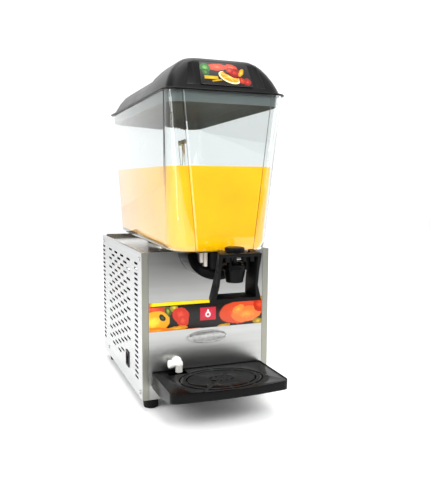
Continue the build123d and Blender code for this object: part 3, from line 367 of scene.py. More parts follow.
def moulded(name, colour, roughness, grain, depth, coat=0.0, lighter=1.3, shine=0.5):
    # injection-moulded plastic: a spark-eroded grain, in millimetres, that breaks up the highlight
    material, tree, shader, point = startMaterial(
        name, IOR=1.5, Coat_Weight=coat, Coat_Roughness=0.15, Specular_IOR_Level=shine
    )
    fine = {"Scale": 1000 / grain, "Detail": 2.0}
    spark = addNode(tree, "ShaderNodeTexNoise", fine, {"Vector": point}).outputs[0]
    cloud = addNode(tree, "ShaderNodeTexNoise", {"Scale": 18.0, "Detail": 3.0}, {"Vector": point}).outputs[0]
    dark = tone(colour)
    pale = [min(1, c * lighter) for c in dark[:3]] + [1]
    base = addNode(tree, "ShaderNodeValToRGB", {"stops": [(0.3, dark), (0.75, pale)]}, {0: cloud}).outputs[0]
    span = {"To Min": roughness - 0.06, "To Max": roughness + 0.08}
    rough = addNode(tree, "ShaderNodeMapRange", span, {"Value": cloud}).outputs[0]
    relief = addNode(tree, "ShaderNodeBump", {"Distance": depth * mm, "Strength": 0.5}, {"Height": spark}).outputs[0]
    feed(tree, shader, {"Base Color": base, "Roughness": rough, "Normal": relief})
    return material


def clearPlastic(name, tint, roughness=0.02):
    # moulded polycarbonate: clear, with faint flow lines and soft smears
    material, tree, shader, point = startMaterial(name, IOR=1.58, Transmission_Weight=1.0, Base_Color=tone(tint))
    long = addNode(tree, "ShaderNodeMapping", {"Scale": (14, 14, 5)}, {"Vector": point}).outputs[0]
    flow = addNode(tree, "ShaderNodeTexNoise", {"Scale": 1.0, "Detail": 2.0}, {"Vector": long}).outputs[0]
    span = {"To Min": 0.0, "To Max": roughness * 2}
    rough = addNode(tree, "ShaderNodeMapRange", span, {"Value": flow}).outputs[0]
    relief = addNode(tree, "ShaderNodeBump", {"Distance": 0.12 * mm, "Strength": 0.15}, {"Height": flow}).outputs[0]
    feed(tree, shader, {"Roughness": rough, "Normal": relief})
    # shadows pass straight through, so the lamps reach what is inside
    shadow = addNode(tree, "ShaderNodeLightPath").outputs["Is Shadow Ray"]
    through = addNode(tree, "ShaderNodeBsdfTransparent").outputs[0]
    blend = addNode(tree, "ShaderNodeMixShader", {}, {0: shadow, 1: shader.outputs[0], 2: through})
    feed(tree, tree.nodes["Material Output"], {"Surface": blend.outputs[0]})
    return material


def painted(name, colour, roughness):
    # stoved enamel: smooth, with a slight orange peel
    material, tree, shader, point = startMaterial(name, Roughness=roughness, IOR=1.5)
    peel = addNode(tree, "ShaderNodeTexNoise", {"Scale": 350.0, "Detail": 1.0}, {"Vector": point}).outputs[0]
    tones = {"stops": [(0.2, darker(tone(colour), 0.85)), (0.8, tone(colour))]}
    base = addNode(tree, "ShaderNodeValToRGB", tones, {0: peel}).outputs[0]
    relief = addNode(tree, "ShaderNodeBump", {"Distance": 0.1 * mm, "Strength": 0.4}, {"Height": peel}).outputs[0]
    feed(tree, shader, {"Base Color": base, "Normal": relief})
    return material


def bareMetal(name, colour, roughness, scale):
    # drawn or cast metal with a slightly clouded surface
    material, tree, shader, point = startMaterial(name, Metallic=1.0)
    cloud = addNode(tree, "ShaderNodeTexNoise", {"Scale": scale, "Detail": 4.0}, {"Vector": point}).outputs[0]
    tones = {"stops": [(0.3, darker(tone(colour), 0.75)), (0.7, tone(colour))]}
    base = addNode(tree, "ShaderNodeValToRGB", tones, {0: cloud}).outputs[0]
    span = {"To Min": roughness - 0.08, "To Max": roughness + 0.12}
    rough = addNode(tree, "ShaderNodeMapRange", span, {"Value": cloud}).outputs[0]
    feed(tree, shader, {"Base Color": base, "Roughness": rough})
    return material


# the sides' folded front edge takes the darker colour 9A9A90, a painted shade
steelSide = brushedSteel("brushedStainlessSide", "D0D1D1", "Y", 0.36, flange="9A9A90")
# the front is the same stainless as the sides in a darker colour: painted shade for the front, which catches less
# light
steelFront = brushedSteel("brushedStainlessFront", "B4B5B3", "X", 0.3)
steelDeck = brushedSteel("brushedStainlessDeck", "D6D4CE", "X", 0.2)
steelPolished = bareMetal("polishedStainless", "D2D2CE", 0.16, 90)
galvanised = bareMetal("galvanisedSheet", "A7ABAD", 0.45, 40)
zinc = bareMetal("brightZinc", "C9C8C4", 0.25, 200)
copper = bareMetal("drawnCopper", "C9774A", 0.25, 80)
aluminium = bareMetal("finAluminium", "C8CACC", 0.3, 120)
ferrite = bareMetal("sinteredFerrite", "3A3A3C", 0.55, 300)
blackEnamel = painted("blackEnamel", "151516", 0.35)
blackAbs = moulded("blackAbsTextured", "060707", 0.42, 1.2, 0.05, shine=0.12)
blackGloss = moulded("blackAbsGloss", "040405", 0.22, 2.5, 0.02, shine=0.1)
blackAcetal = moulded("blackAcetal", "050506", 0.36, 1.6, 0.03, shine=0.11)
rubber = moulded("blackRubber", "0A0A0A", 0.65, 0.9, 0.06, shine=0.2)
whiteNylon = moulded("whiteNylon", "F2F1EC", 0.3, 1.6, 0.02, lighter=1.05)
naturalNylon = moulded("naturalNylon", "DCD4CC", 0.3, 1.6, 0.02, lighter=1.1)
foam = moulded("closedCellFoam", "E9E7DF", 0.8, 3.0, 0.3, lighter=1.1)
redLens = moulded("redSwitchLens", "8B2A30", 0.22, 2.0, 0.02, coat=0.4)
polycarbonate = clearPlastic("clearPolycarbonate", "F4F8F8")
clearPipe = clearPlastic("clearPipePlastic", "E9ECE6", 0.08)  # extruded tube, a little hazy
tanNylon = moulded("tanNylon", "8C8468", 0.4, 1.6, 0.02, lighter=1.15)
steelBadge = bareMetal("pressedStainless", "C6C6C4", 0.28, 140)

# orange squash: opaque pulp that lets a little light in under the surface
orangeSquash, tree, shader, point = startMaterial("orangeSquash", Roughness=0.28, IOR=1.35, Specular_IOR_Level=0.1)
shader.inputs["Subsurface Weight"].default_value = 0.2
shader.inputs["Subsurface Radius"].default_value = (1.0, 0.5, 0.1)
shader.inputs["Subsurface Scale"].default_value = 0.012
pulp = addNode(tree, "ShaderNodeTexNoise", {"Scale": 14.0, "Detail": 4.0}, {"Vector": point}).outputs[0]
pulpTones = {"stops": [(0.3, tone("F6AC00")), (0.7, tone("FABA00"))]}
feed(tree, shader, {"Base Color": addNode(tree, "ShaderNodeValToRGB", pulpTones, {0: pulp}).outputs[0]})

# lid: gloss-grained ABS that shows broad soft highlights on its slopes
blackLid = moulded("blackLidAbs", "050506", 0.28, 1.1, 0.03, lighter=1.4, shine=0.16)
# lid inside: the same black moulding, coloured grey-green as painted light for the glow and reflections seen on it
lidUndersidePaintedLight = moulded("matteLidUndersidePaintedLight", "47514F", 0.55, 1.4, 0.04, lighter=1.25)


def fruitPrint(name, ground, centre, lean, shapes):
    # a laminated print: fruits drawn as soft-edged ovals and bars, in millimetres on the panel
    material, tree, shader, point = startMaterial(name, Roughness=0.22, IOR=1.5, Specular_IOR_Level=0.3)
    settings = {
        "vector_type": "TEXTURE",
        "Location": [c * mm for c in centre],
        "Rotation": (lean, 0, 0),
        "Scale": (mm, mm, mm),
    }
    panel = addNode(tree, "ShaderNodeMapping", settings, {"Vector": point}).outputs[0]
    grain = {"Scale": 0.16, "Detail": 5.0, "Roughness": 0.6}  # about 6 mm between its spots
    mottle = addNode(tree, "ShaderNodeTexNoise", grain, {"Vector": panel}).outputs[0]
    wobble = addNode(tree, "ShaderNodeTexNoise", {"Scale": 0.1, "Detail": 3.0}, {"Vector": panel}).outputs["Color"]
    drift = {"operation": "MULTIPLY_ADD", 1: (5, 5, 0), 2: (-2.5, -2.5, 0)}  # outlines wander by 2.5 mm
    shifted = addNode(tree, "ShaderNodeVectorMath", drift, {0: wobble}).outputs[0]
    rough = addNode(tree, "ShaderNodeVectorMath", {"operation": "ADD"}, {0: panel, 1: shifted}).outputs[0]
    colour = tone(ground)
    for kind, x, y, wide, tall, turn, dark, light in shapes:
        source = rough if kind == "oval" else panel
        where = {
            "vector_type": "TEXTURE",
            "Location": (x, y, 0),
            "Rotation": (0, 0, math.radians(turn)),
            "Scale": (wide, tall, 1e4),  # so deep that only the place on the panel counts
        }
        local = addNode(tree, "ShaderNodeMapping", where, {"Vector": source}).outputs[0]
        if kind == "bar":
            parts = addNode(tree, "ShaderNodeVectorMath", {"operation": "ABSOLUTE"}, {0: local}).outputs[0]
            across, up, _ = addNode(tree, "ShaderNodeSeparateXYZ", {}, {0: parts}).outputs
            reach = addNode(tree, "ShaderNodeMath", {"operation": "MAXIMUM"}, {0: across, 1: up}).outputs[0]
        else:
            reach = addNode(tree, "ShaderNodeVectorMath", {"operation": "LENGTH"}, {0: local}).outputs["Value"]
        blotch = {"operation": "MULTIPLY_ADD", 1: 0.9}
        shade = addNode(tree, "ShaderNodeMath", blotch, {0: mottle, 2: reach}).outputs[0]
        tones = {"stops": [(0.35, tone(light)), (1.0, tone(dark))]}
        body = addNode(tree, "ShaderNodeValToRGB", tones, {0: shade}).outputs[0]
        fade = {"stops": [(0.93, grey(1)), (1.0, grey(0))]}
        edge = addNode(tree, "ShaderNodeValToRGB", fade, {0: reach}).outputs[0]
        layers = {0: edge, 6: colour, 7: body}
        colour = addNode(tree, "ShaderNodeMix", {"data_type": "RGBA"}, layers).outputs[2]
    dots = addNode(tree, "ShaderNodeTexNoise", {"Scale": 1.4}, {"Vector": panel}).outputs[0]
    relief = addNode(tree, "ShaderNodeBump", {"Distance": 0.02 * mm, "Strength": 0.3}, {"Height": dots}).outputs[0]
    feed(tree, shader, {"Base Color": colour, "Normal": relief})
    return material


# front strip: fruit on black, a yellow band along its top edge
stripFruit = fruitPrint("printedFruitStrip", "17130F", (0, frontY, 166.2), math.pi / 2, [
    ("oval", -104, 15, 42, 9, -6, "B9341A", "E4572A"),
    ("oval", -74, 10, 6, 9, 30, "3E5214", "A8B53C"),
    ("oval", -100, -9, 31, 20, 10, "E9A010", "FFE040"),
    ("oval", -92, -24, 26, 7, -4, "E8791C", "FBC23A"),
    ("oval", -62, 14, 7, 8, 0, "8E8A22", "E6C73A"),
    ("oval", -50, 1, 17, 14, -30, "C8301A", "F0583A"),
    ("oval", -46, -10, 11, 11, -20, "CC341C", "EE5836"),
    ("oval", -56, -22, 20, 4, 4, "D98A1A", "F6BE3C"),
    ("oval", -84, -1, 5, 7, 30, "20260F", "4A5A22"),
    ("oval", 66, -1, 45, 22, 3, "D44A28", "EC6C38"),
    ("oval", 76, -6, 31, 15, 4, "E97434", "F2A640"),
    ("oval", 60, 4, 13, 7, 30, "F2863A", "F9B04A"),
    ("oval", 104, 10, 14, 14, 0, "B52A12", "EE5A2A"),
    ("oval", 32, -24, 12, 3.6, 5, "B98A1A", "E8C23C"),
    ("oval", 100, -21, 12, 5, 0, "8E7A1A", "E6B83A"),
    ("bar", 1, 0, 15.5, 12, 0, "C8283C", "E4506A"),
    ("disc", 1, -1.5, 5.2, 5.2, 0, "F4E8E8", "FFFFFF"),
    ("disc", 1, 3.6, 2.2, 4.6, 0, "F4E8E8", "FFFFFF"),
    ("disc", 1, -1.5, 2.6, 2.6, 0, "C8283C", "E4506A"),
    ("bar", 0, 18.9, 108, 0.8, 0, "17130F", "17130F"),
    ("bar", 0, 22.7, 108, 3.1, 0, "F2D21A", "FFE93C"),
    ("bar", -60, -25.2, 48, 0.8, 0, "D9661E", "E8842A"),
])
pictureShape = {
    "half": (45, 0.7, 22),
    "taper": 0.92,  # its top is narrower
    "centre": (0, frontY - 76.5, 570.6),
    "lean": math.atan2(30.0, 597.0 - 544.0),  # the hump's front runs 30 back over 53 up
    "corner": 2.5,
    "edge": 0.4,
}
# lid picture: a green fruit, red fruits, berries and a cut orange on black
lidFacing = math.pi / 2 - pictureShape["lean"]
lidFruit = fruitPrint("printedFruitPicture", "120E0C", pictureShape["centre"], lidFacing, [
    ("disc", 6, -6, 19, 10.5, -24, "FFF0B8", "FFF8D8"),
    ("disc", 6.6, -5, 17, 9.0, -24, "F28A12", "FFBE3E"),
    ("bar", 7, -4.6, 15.5, 0.35, -24, "FFD98A", "FFE3A0"),
    ("bar", 7, -4.6, 12, 0.3, 10, "FFD98A", "FFE3A0"),
    ("bar", 7, -4.6, 10, 0.3, -62, "FFD98A", "FFE3A0"),
    ("oval", 13, 3.5, 20, 8.5, -24, "120E0C", "2A120C"),
    ("oval", -12, 13, 17, 7, 4, "B8381C", "EE7240"),
    ("oval", 12, 13, 12, 8, -8, "C03A1C", "F08048"),
    ("oval", -33, 11, 9, 9, -30, "1E5A1C", "7EC05A"),
    ("oval", -33, 2, 6, 7, 20, "1A4A16", "4E8E30"),
    ("oval", 17, 4, 12, 9, -10, "7E1410", "D23420"),
    ("oval", 9, 8, 6, 6, 0, "961A12", "DC4630"),
    ("oval", 28, 5, 4, 9, -35, "B8860A", "F2C83C"),
    ("oval", 36, -12, 7, 7, 0, "8E1A10", "DA4A2A"),
    ("oval", 27, -10, 5, 6, 0, "A02414", "E05A34"),
    ("bar", -25, -8, 12, 3.2, 0, "B8940C", "EBCB2C"),
    ("bar", -16, -13, 9, 1.6, 12, "9E7E0C", "DCB828"),
])

print("materials ready")

nodeFinish = {
    "side_panel_left": steelSide, "side_panel_right": steelSide, "front_panel": steelFront,
    "rear_panel": steelSide, "top_deck": steelDeck, "base_pan": galvanised, "foot_bolts": zinc,
    "thermostat": blackAbs, "compressor": blackEnamel,
    "compressor_mounts": rubber, "terminal_box": blackAbs, "condenser_fins": aluminium,
    "condenser_tubes": copper, "fan_shroud": galvanised, "fan_bracket": galvanised,
    "fan_motor": blackEnamel, "fan_blade": blackAbs, "filter_drier": copper,
    "refrigerant_tubes": copper, "evaporator_drum": steelPolished, "evaporator_coil": copper,
    "deck_insulation": foam, "pump_motor": blackEnamel, "drive_magnet": ferrite,
    "impeller": whiteNylon, "pump_cover": whiteNylon, "bowl_gasket": rubber,
    "drain_hose": whiteNylon, "tray_rails": zinc, "outlet_gasket": rubber,
    "outlet_nut": blackAcetal, "lever_pin": zinc, "tap_spring": zinc, "tap_gland": blackAcetal,
    "piston": whiteNylon, "piston_seal": rubber,
}
for nodeName, finish in nodeFinish.items():
    mesh = frame["nodes"][nodeName].data
    mesh.materials.clear()
    mesh.materials.append(finish)
print("CAD nodes have their finishes")


# bowl: a clear tapered box with a raised panel down its front
bowlShape = {
    # half width, front, back, front corners across and back, rear corners
    "bottom": (87.0, frontY - 84.5, frontY + 326.0, 36.0, 62.0, 30.0),
    "top": (102.3, frontY - 92.0, frontY + 334.0, 21.0, 21.0, 25.0),
    # heights with how far each outline is set in: the rounded foot, the inside and the drink
    "foot": [(286.0, 6.0), (287.1, 3.2), (289.6, 1.0), (295.0, 0.0)],
    "inside": [(288.4, 7.6), (289.6, 4.7), (292.6, 3.2), (300.0, 3.0), (rimZ + 3, 3.0)],
    "drink": [(288.8, 8.0), (290.0, 5.1), (293.0, 3.6), (300.4, 3.35), (426.0, 3.35)],
    "panel": (48.0, 74.5, 3.0),  # half width below and above, and how far it stands out
    "slope": 0.9,  # degrees, of the underside
    # round steps, as radius and height
    "seat": [(58.5, 289), (58.5, 301), (57.5, 302), (40, 302)],
    "drumHole": [(63.5, 280), (63.5, 288.2), (55.5, 288.3), (55.5, 310)],
    "outletHole": [(11, 280), (11, 300)],
    "drumSpace": [
        (59.2, 280), (59.2, 303), (53, 303.2), (53, 391), (31.5, 391.2), (31.5, 407), (12.2, 407.2), (12.2, 440),
    ],
    "nutSpace": [(18.4, 280), (18.4, 298.6)],
}


def bowlRing(name, z, inset):
    # the bowl's outline at a height, set in by the inset
    share = (z - bowlShape["foot"][0][0]) / (rimZ - bowlShape["foot"][0][0])
    low, high = bowlShape["bottom"], bowlShape["top"]
    half, front, back, cornerX, cornerY, rear = (a + (b - a) * share for a, b in zip(low, high))
    lowWidth, topWidth, proud = bowlShape["panel"]
    panel = (lowWidth + (topWidth - lowWidth) * share, proud)
    corners = [size - inset for size in (cornerX, cornerY, rear)]
    return ring(name, z, half - inset, front + inset, back - inset, *corners, panel)


def slopeFoot(piece, below):
    # the underside rises towards the back
    pick(piece, "VERT", lambda at, out: at.z < below)
    pivot = (0, bowlShape["bottom"][1] * mm, bowlShape["foot"][0][0] * mm)
    lift = -math.radians(bowlShape["slope"])
    bpy.ops.transform.rotate(value=lift, orient_axis="X", center_override=pivot)
    leave(piece)


def bowlForm(name, steps, footTop):
    # one closed form on the bowl's outline, with its foot sloped
    form = lofted(name, [bowlRing(name + "Ring", z, inset) for z, inset in steps])
    slopeFoot(form, footTop)
    return form


bowl = bowlForm("clearBowl", bowlShape["foot"] + [(rimZ, 0)], 296)
cut(bowl, [bowlForm("bowlCavity", bowlShape["inside"], 302)])
cut(bowl, [turned("seatRing", (0, drumY, 0), bowlShape["seat"], 72)], "UNION")
cut(bowl, [
    turned("drumOpening", (0, drumY, 0), bowlShape["drumHole"], 72),
    turned("outletOpening", (0, outletY, 0), bowlShape["outletHole"], 40),
])
done(bowl, polycarbonate, "bowl", ["bowl"], 25)

juice = bowlForm("orangeJuice", bowlShape["drink"], 303)
cut(juice, [
    turned("drumSpace", (0, drumY, 0), bowlShape["drumSpace"], 64),
    turned("nutSpace", (0, outletY, 0), bowlShape["nutSpace"], 40),
])
done(juice, orangeSquash, "bowl", [], 25)

# lid: thin flange, low dome behind, a tall hump with the picture in front
lidShape = {
    # half width, front, back and corners, then heights with how far each outline is set in
    "flange": (105.7, frontY - 95.0, frontY + 339.0, 24.0),
    "flangeSteps": [(rimZ + 0.1, 0.7), (rimZ + 0.7, 0.0), (rimZ + 2.4, 0.0), (rimZ + 3.0, 0.6)],
    "seam": 543.0,  # where dome and hump start on the flange
    "underSeam": 538.0,  # their insides start below it
    "corner": 20,
    # height, half width, front and back from the cabinet's face
    "dome": [
        (543.0, 98, 10, 331), (552, 95.5, 14, 326), (564, 89.5, 20, 314),
        (574, 82.5, 28, 298), (579, 76, 33, 288), (580, 70, 38, 280),
    ],
    "hump": [
        (543.0, 98, -91, 112), (553, 95.5, -85.5, 98), (565, 90.5, -79, 80), (577, 83, -72.3, 63),
        (586, 75, -67.3, 50), (592, 67.5, -63.5, 41), (596.3, 60, -58, 34), (598, 52, -51, 26),
    ],
    "skirt": (97.4, frontY - 87.6, frontY + 329.6, 26.0),
    "skirtFoot": 524.0,
    "skirtWall": 2.5,
    "wall": 3.0,
    "pocket": (50, 68),  # reach of the sunk facet beside the picture
}


def evenRing(name, z, outline, inward, corner):
    # a rounded rectangle set in from an outline
    half, front, back = outline[:3]
    return ring(name, z, half - inward, front + inward, back - inward, corner, corner, corner)


def lidForm(name, steps, wall=0):
    # dome or hump; with a wall it is the space inside, which starts lower
    rings = []
    for z, half, front, back in steps:
        foot = lidShape["underSeam"] if wall and z == lidShape["seam"] else z
        height = foot - wall * (0.9 if foot > lidShape["seam"] else 0.5)
        outline = (half, frontY + front, frontY + back)
        rings.append(evenRing(name + "Ring", height, outline, wall, lidShape["corner"] - wall))
    return lofted(name, rings)


lid = lofted("lidShell", [
    evenRing("flangeRing", z, lidShape["flange"], inward, lidShape["flange"][3])
    for z, inward in lidShape["flangeSteps"]
])
cut(lid, [lidForm("lidHump", lidShape["hump"]), lidForm("lidDome", lidShape["dome"])], "UNION")
underHump = lidForm("underHump", lidShape["hump"], lidShape["wall"])
cut(underHump, [lidForm("underDome", lidShape["dome"], lidShape["wall"])], "UNION")
cut(lid, [underHump])
skirt = lofted("lidSkirt", [
    evenRing("skirtRing", z, lidShape["skirt"], 0, lidShape["skirt"][3])
    for z in (lidShape["skirtFoot"], rimZ + 1.5)
])
skirtInside = lofted("skirtInside", [
    evenRing("skirtInsideRing", z, lidShape["skirt"], lidShape["skirtWall"], 23)
    for z in (lidShape["skirtFoot"] - 2, rimZ + 4)
])
cut(skirt, [skirtInside])
cut(lid, [skirt], "UNION")
for side in (-1, 1):  # a sunk facet each side of the picture
    leftX, rightX = sorted(side * reach for reach in lidShape["pocket"])
    pocket = startBox("pocket", (leftX, frontY - 98, 551), (rightX, frontY - 84.6, 589))
    pick(pocket, "VERT", lambda at, out: at.z > 570)
    move(y=20.6)
    pick(pocket, "VERT", lambda at, out: at.z > 570 and abs(at.x) > 60)
    move(x=-side * 9)
    pick(pocket, "VERT", lambda at, out: abs(at.x) < 55 and at.y < frontY - 60)
    move(y=-2)
    facesOut(pocket)
    pick(pocket, "EDGE", lambda at, run: True)
    roundEdges(2.0, 3)
    leave(pocket)
    cut(lid, [pocket])
done(lid, blackLid, "lid", ["lid"], 28)
lid.data.materials.append(lidUndersidePaintedLight)  # the unpolished inner side of the moulding, coloured grey-green: painted light for the glow and reflections it shows under the lid
pick(lid, "FACE", lambda at, out: at.z < rimZ - 0.3 or (out.z < -0.15 and at.z > rimZ + 2.5))
lid.active_material_index = 1
bpy.ops.object.material_slot_assign()
leave(lid)

picture = startBox("lidPicture", [-c for c in pictureShape["half"]], pictureShape["half"])
pick(picture, "VERT", lambda at, out: at.z > 0)
stretch(pictureShape["taper"], 1, 1, (0, 0, 0))
pick(picture, "EDGE", lambda at, run: abs(run.y) > 0.9)
roundEdges(pictureShape["corner"], 4)
pick(picture, "EDGE", lambda at, run: at.y < -0.6)
roundEdges(pictureShape["edge"], 2)
leave(picture)
picture.rotation_euler = (-pictureShape["lean"], 0, 0)
picture.location = [c * mm for c in pictureShape["centre"]]
bpy.ops.object.transform_apply(location=True, rotation=True, scale=True)
done(picture, lidFruit, "lid", ["lid_picture"], 30)

# the fruit strip across the front, in the place of its CAD node
stripLow, stripHigh = place("picture_strip")
strip = startBox("fruitStrip", stripLow, stripHigh)
pick(strip, "EDGE", lambda at, run: abs(run.y) > 0.9)
roundEdges(1.2, 3)
pick(strip, "EDGE", lambda at, run: at.y < stripLow.y + 0.01)
roundEdges(0.25, 2)
done(strip, stripFruit, "cabinet", ["picture_strip"], 30)

footShape = {
    "radius": 14.6,
    # radius and height, from the hollow under the foot up to its top
    "steps": [
        (6.6, 2.6), (6.9, 0.4), (7.6, 0.0), (11.9, 0.0), (12.6, 0.6),
        (13.2, 3.0), (14.2, 15.4), (14.6, 17.2), (14.6, 18.3), (14.0, 19.0),
    ],
}
footLow, footHigh = place("feet")
footInset = Vector([footShape["radius"]] * 3)
footLow, footHigh = footLow + footInset, footHigh - footInset
footAt = [(x, y, 0) for x in (footLow.x, footHigh.x) for y in (footLow.y, footHigh.y)]
rubberFeet = joined("rubberFeet", [turned("foot", at, footShape["steps"], 48) for at in footAt])
done(rubberFeet, rubber, "cabinet", ["feet"], 30)


def bevelledCopy(node, name, width, segments, angle):
    # a working copy of a CAD node, merged and with its edges rounded
    leave(frame["nodes"][node])
    bpy.ops.object.duplicate()
    piece = bpy.context.active_object
    bpy.ops.object.parent_clear(type="CLEAR_KEEP_TRANSFORM")
    for key in [k for k in piece.keys() if k.startswith("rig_")]:
        del piece[key]
    piece.name = name
    edit(piece)
    bpy.ops.mesh.select_all(action="SELECT")
    bpy.ops.mesh.remove_doubles(threshold=0.00001)
    bpy.ops.mesh.dissolve_limited(angle_limit=math.radians(1.5))
    leave(piece)
    soften(piece, width, segments, angle)
    return piece


# node, piece, bevel in millimetres, its steps and crease angle, finish, body, slot, smoothing angle
roundedPieces = [
    ("oval_badge", "ovalBadge", 0.35, 3, 50, steelBadge, "cabinet", "brushed_stainless", 40),
    ("switch_bezel", "switchBezel", 0.6, 3, 35, blackAbs, "cabinet", "black_plastic", 40),
    ("rocker", "switchRocker", 0.5, 3, 35, redLens, "rocker", "red_rocker", 40),
    ("side_screws", "sideScrews", 1.1, 3, 60, zinc, "cabinet", "zinc_steel", 50),
    ("rear_screws", "rearScrews", 1.1, 3, 60, zinc, "cabinet", "zinc_steel", 50),
    ("thermostat_knob", "thermostatKnob", 0.7, 2, 50, blackAbs, "thermostat_knob", "black_plastic", 40),
    ("mains_inlet", "mainsInlet", 0.5, 2, 35, blackAbs, "cabinet", "black_plastic", 40),
    ("outlet_clips", "outletClips", 0.9, 3, 35, naturalNylon, "bowl", "natural_nylon", 40),
    ("drip_collar", "dripCollar", 1.6, 3, 50, blackGloss, "cabinet", "black_plastic", 30),
    ("stand_pipe", "standPipe", 0.3, 2, 60, clearPipe, "cabinet", "clear_polycarbonate", 40),
    ("lever", "pushLever", 1.6, 3, 40, blackAcetal, "lever", "black_plastic", 35),
    ("drip_tray", "dripTray", 1.1, 3, 50, blackGloss, "drip_tray", "black_gloss_plastic", 30),
    ("grate", "trayGrate", 0.6, 2, 50, blackGloss, "grate", "black_gloss_plastic", 30),
]
for node, name, width, segments, crease, finish, body, slot, smooth in roundedPieces:
    done(bevelledCopy(node, name, width, segments, crease), finish, body, [node], smooth)

# spray head: a short tube with a collar at each end, on top of the stand pipe
headShape = {
    "steps": [
        (2.6, -13), (2.6, -14), (4.2, -14), (4.6, -13.4), (4.6, -6), (4.0, -5.4),
        (4.0, 9), (4.7, 9.6), (4.7, 13.4), (4.2, 14), (2.6, 14), (2.6, 13),
    ],
    "tilt": -14,
    "swing": 12,
    "below": 6,  # its axis under the CAD node's top
}
head = turned("sprayHead", (0, 0, 0), headShape["steps"], 32, "X")
head.rotation_euler = (0, math.radians(headShape["tilt"]), math.radians(headShape["swing"]))
head.location = (0, drumY * mm, (place("spray_head")[1].z - headShape["below"]) * mm)
bpy.ops.object.transform_apply(location=True, rotation=True, scale=True)
done(head, tanNylon, "cabinet", ["spray_head"], 40)

# drain elbow: a chunky white fitting with a stub to its left
elbowLow, elbowHigh = place("drain_elbow")
elbowX, elbowZ = elbowHigh.x - 9, elbowLow.z + 15
elbowShape = {
    "body": [
        (5.2, -4), (5.2, 0.0), (9.2, 0.0), (9.2, 3.0), (8.6, 3.8), (7.0, 4.4), (7.0, 17.0), (6.0, 20.4), (3.4, 22.2),
    ],
    "spout": [(3.9, -9), (3.9, -15), (6.0, -15), (6.4, -14.4), (6.4, -3), (6.0, 0)],
    "stub": [(6.2, 0), (6.2, 11), (7.4, 11.6), (7.4, 17.4), (6.6, 18.8), (4.0, 19.6)],
}
elbow = turned("drainElbow", (elbowX, frontY, elbowZ), elbowShape["body"], 40, "-Y")
spout = turned("spout", (elbowX, frontY - 15, elbowZ), elbowShape["spout"], 40)
stub = turned("stub", (elbowX, frontY - 14, elbowZ), elbowShape["stub"], 40, "-X")
cut(elbow, [stub, spout], "UNION")
soften(elbow, 0.5, 2, 50)
done(elbow, whiteNylon, "cabinet", ["drain_elbow"], 35)

# tap: ribbed nozzle and sleeve, duct to the bowl, knob on the piston
tapShape = {
    # radius and height
    "nozzle": [
        (8.0, 249.8), (8.0, 243.9), (8.5, 243.4), (12.4, 243.4), (12.9, 243.9), (16.9, 261.6), (17.2, 264.0),
        (19.2, 264.2), (19.8, 264.8), (19.8, 271.4), (19.2, 272.0), (12.0, 272.0), (12.0, 268.1),
    ],
    "gland": [(4.6, 268.1), (11.8, 268.1), (11.8, 275.6), (11.2, 276.5), (5.2, 276.5), (4.6, 276.0)],
    "knob": [
        (4.6, 287.0), (4.6, 286.3), (14.6, 286.3), (15.7, 287.4),
        (15.7, 297.0), (15.2, 298.2), (14.0, 299.0), (11.0, 299.2),
    ],
    "socket": [
        (10.1, 262.0), (10.1, 257.0), (17.0, 255.0), (18.0, 256.0), (18.0, 283.2), (17.2, 284.0), (10.1, 284.0),
    ],
    "ribs": 40,
    "grooves": 32,
    "ribDepth": 0.5,
    "grooveDepth": -0.35,
}
tap = turned("tapBody", (0, tapY, 0), tapShape["nozzle"], 2 * tapShape["ribs"])
tapLow = tapShape["nozzle"][4][1]


def everyOther(at, pairs, radius):
    # true on every other strip round the tap's axis, outside the radius
    turn = math.degrees(math.atan2(at.y - tapY, at.x)) % 360
    return int(turn // (180 / pairs)) % 2 == 0 and math.hypot(at.x, at.y - tapY) > radius


def raiseFaces(depth):
    bpy.ops.mesh.extrude_region_shrink_fatten(TRANSFORM_OT_shrink_fatten={"value": depth * mm})


pick(tap, "FACE", lambda at, out: tapLow < at.z < 261 and everyOther(at, tapShape["ribs"], 12.5))
raiseFaces(tapShape["ribDepth"])
leave(tap)
socket = turned("tapSocket", (0, outletY, 0), tapShape["socket"], 48)
duct = turned("tapDuct", (0, outletY - 15, 263), [(7.9, 0), (7.9, outletY - tapY - 27)], 40, "-Y")
cut(tap, [duct, socket], "UNION")
for side in (-1, 1):
    low, high = sorted((side * 12.0, side * 16.5))
    ear = startBox("tapEar", (low, tapY - 17.5, 265), (high, tapY - 8, 285.5))
    pick(ear, "EDGE", lambda at, run: abs(run.x) > 0.9 and at.z > 280)
    roundEdges(3.4, 5)
    leave(ear)
    cut(tap, [ear], "UNION")
done(tap, blackAcetal, "bowl", ["tap_body"], 30)
gland = turned("tapGland", (0, tapY, 0), tapShape["gland"], 48)
done(gland, blackAcetal, "bowl", ["tap_gland"], 30)
knob = turned("pistonKnob", (0, tapY, 0), tapShape["knob"], 64)
pick(knob, "FACE", lambda at, out: abs(out.z) < 0.2 and at.z > 288 and everyOther(at, tapShape["grooves"], 15))
raiseFaces(tapShape["grooveDepth"])
leave(knob)
done(knob, blackAcetal, "piston", ["piston_knob"], 30)

# camera, floor and light; camera lengths in millimetres and degrees
camera = {"place": (-357.9, frontY - 960.0, 399.9), "turn": 21.18, "tilt": -6.67, "roll": 0.33, "lens": 41.82}
bpy.ops.object.camera_add(location=[c * mm for c in camera["place"]])
eye = bpy.context.active_object
eye.name = "studioCamera"
eye.rotation_mode = "XYZ"
eye.data.lens = camera["lens"]
eye.data.sensor_width = 36
yaw, pitch, roll = (math.radians(camera[k]) for k in ("turn", "tilt", "roll"))
forward = Vector((math.sin(yaw) * math.cos(pitch), math.cos(yaw) * math.cos(pitch), math.sin(pitch)))
aim = forward.to_track_quat("-Z", "Y").to_matrix()
right = aim.col[0] * math.cos(roll) + aim.col[1] * math.sin(roll)
upward = aim.col[1] * math.cos(roll) - aim.col[0] * math.sin(roll)
for row in range(3):
    aim[row][0], aim[row][1] = right[row], upward[row]
eye.rotation_euler = aim.to_euler()
bpy.context.scene.camera = eye

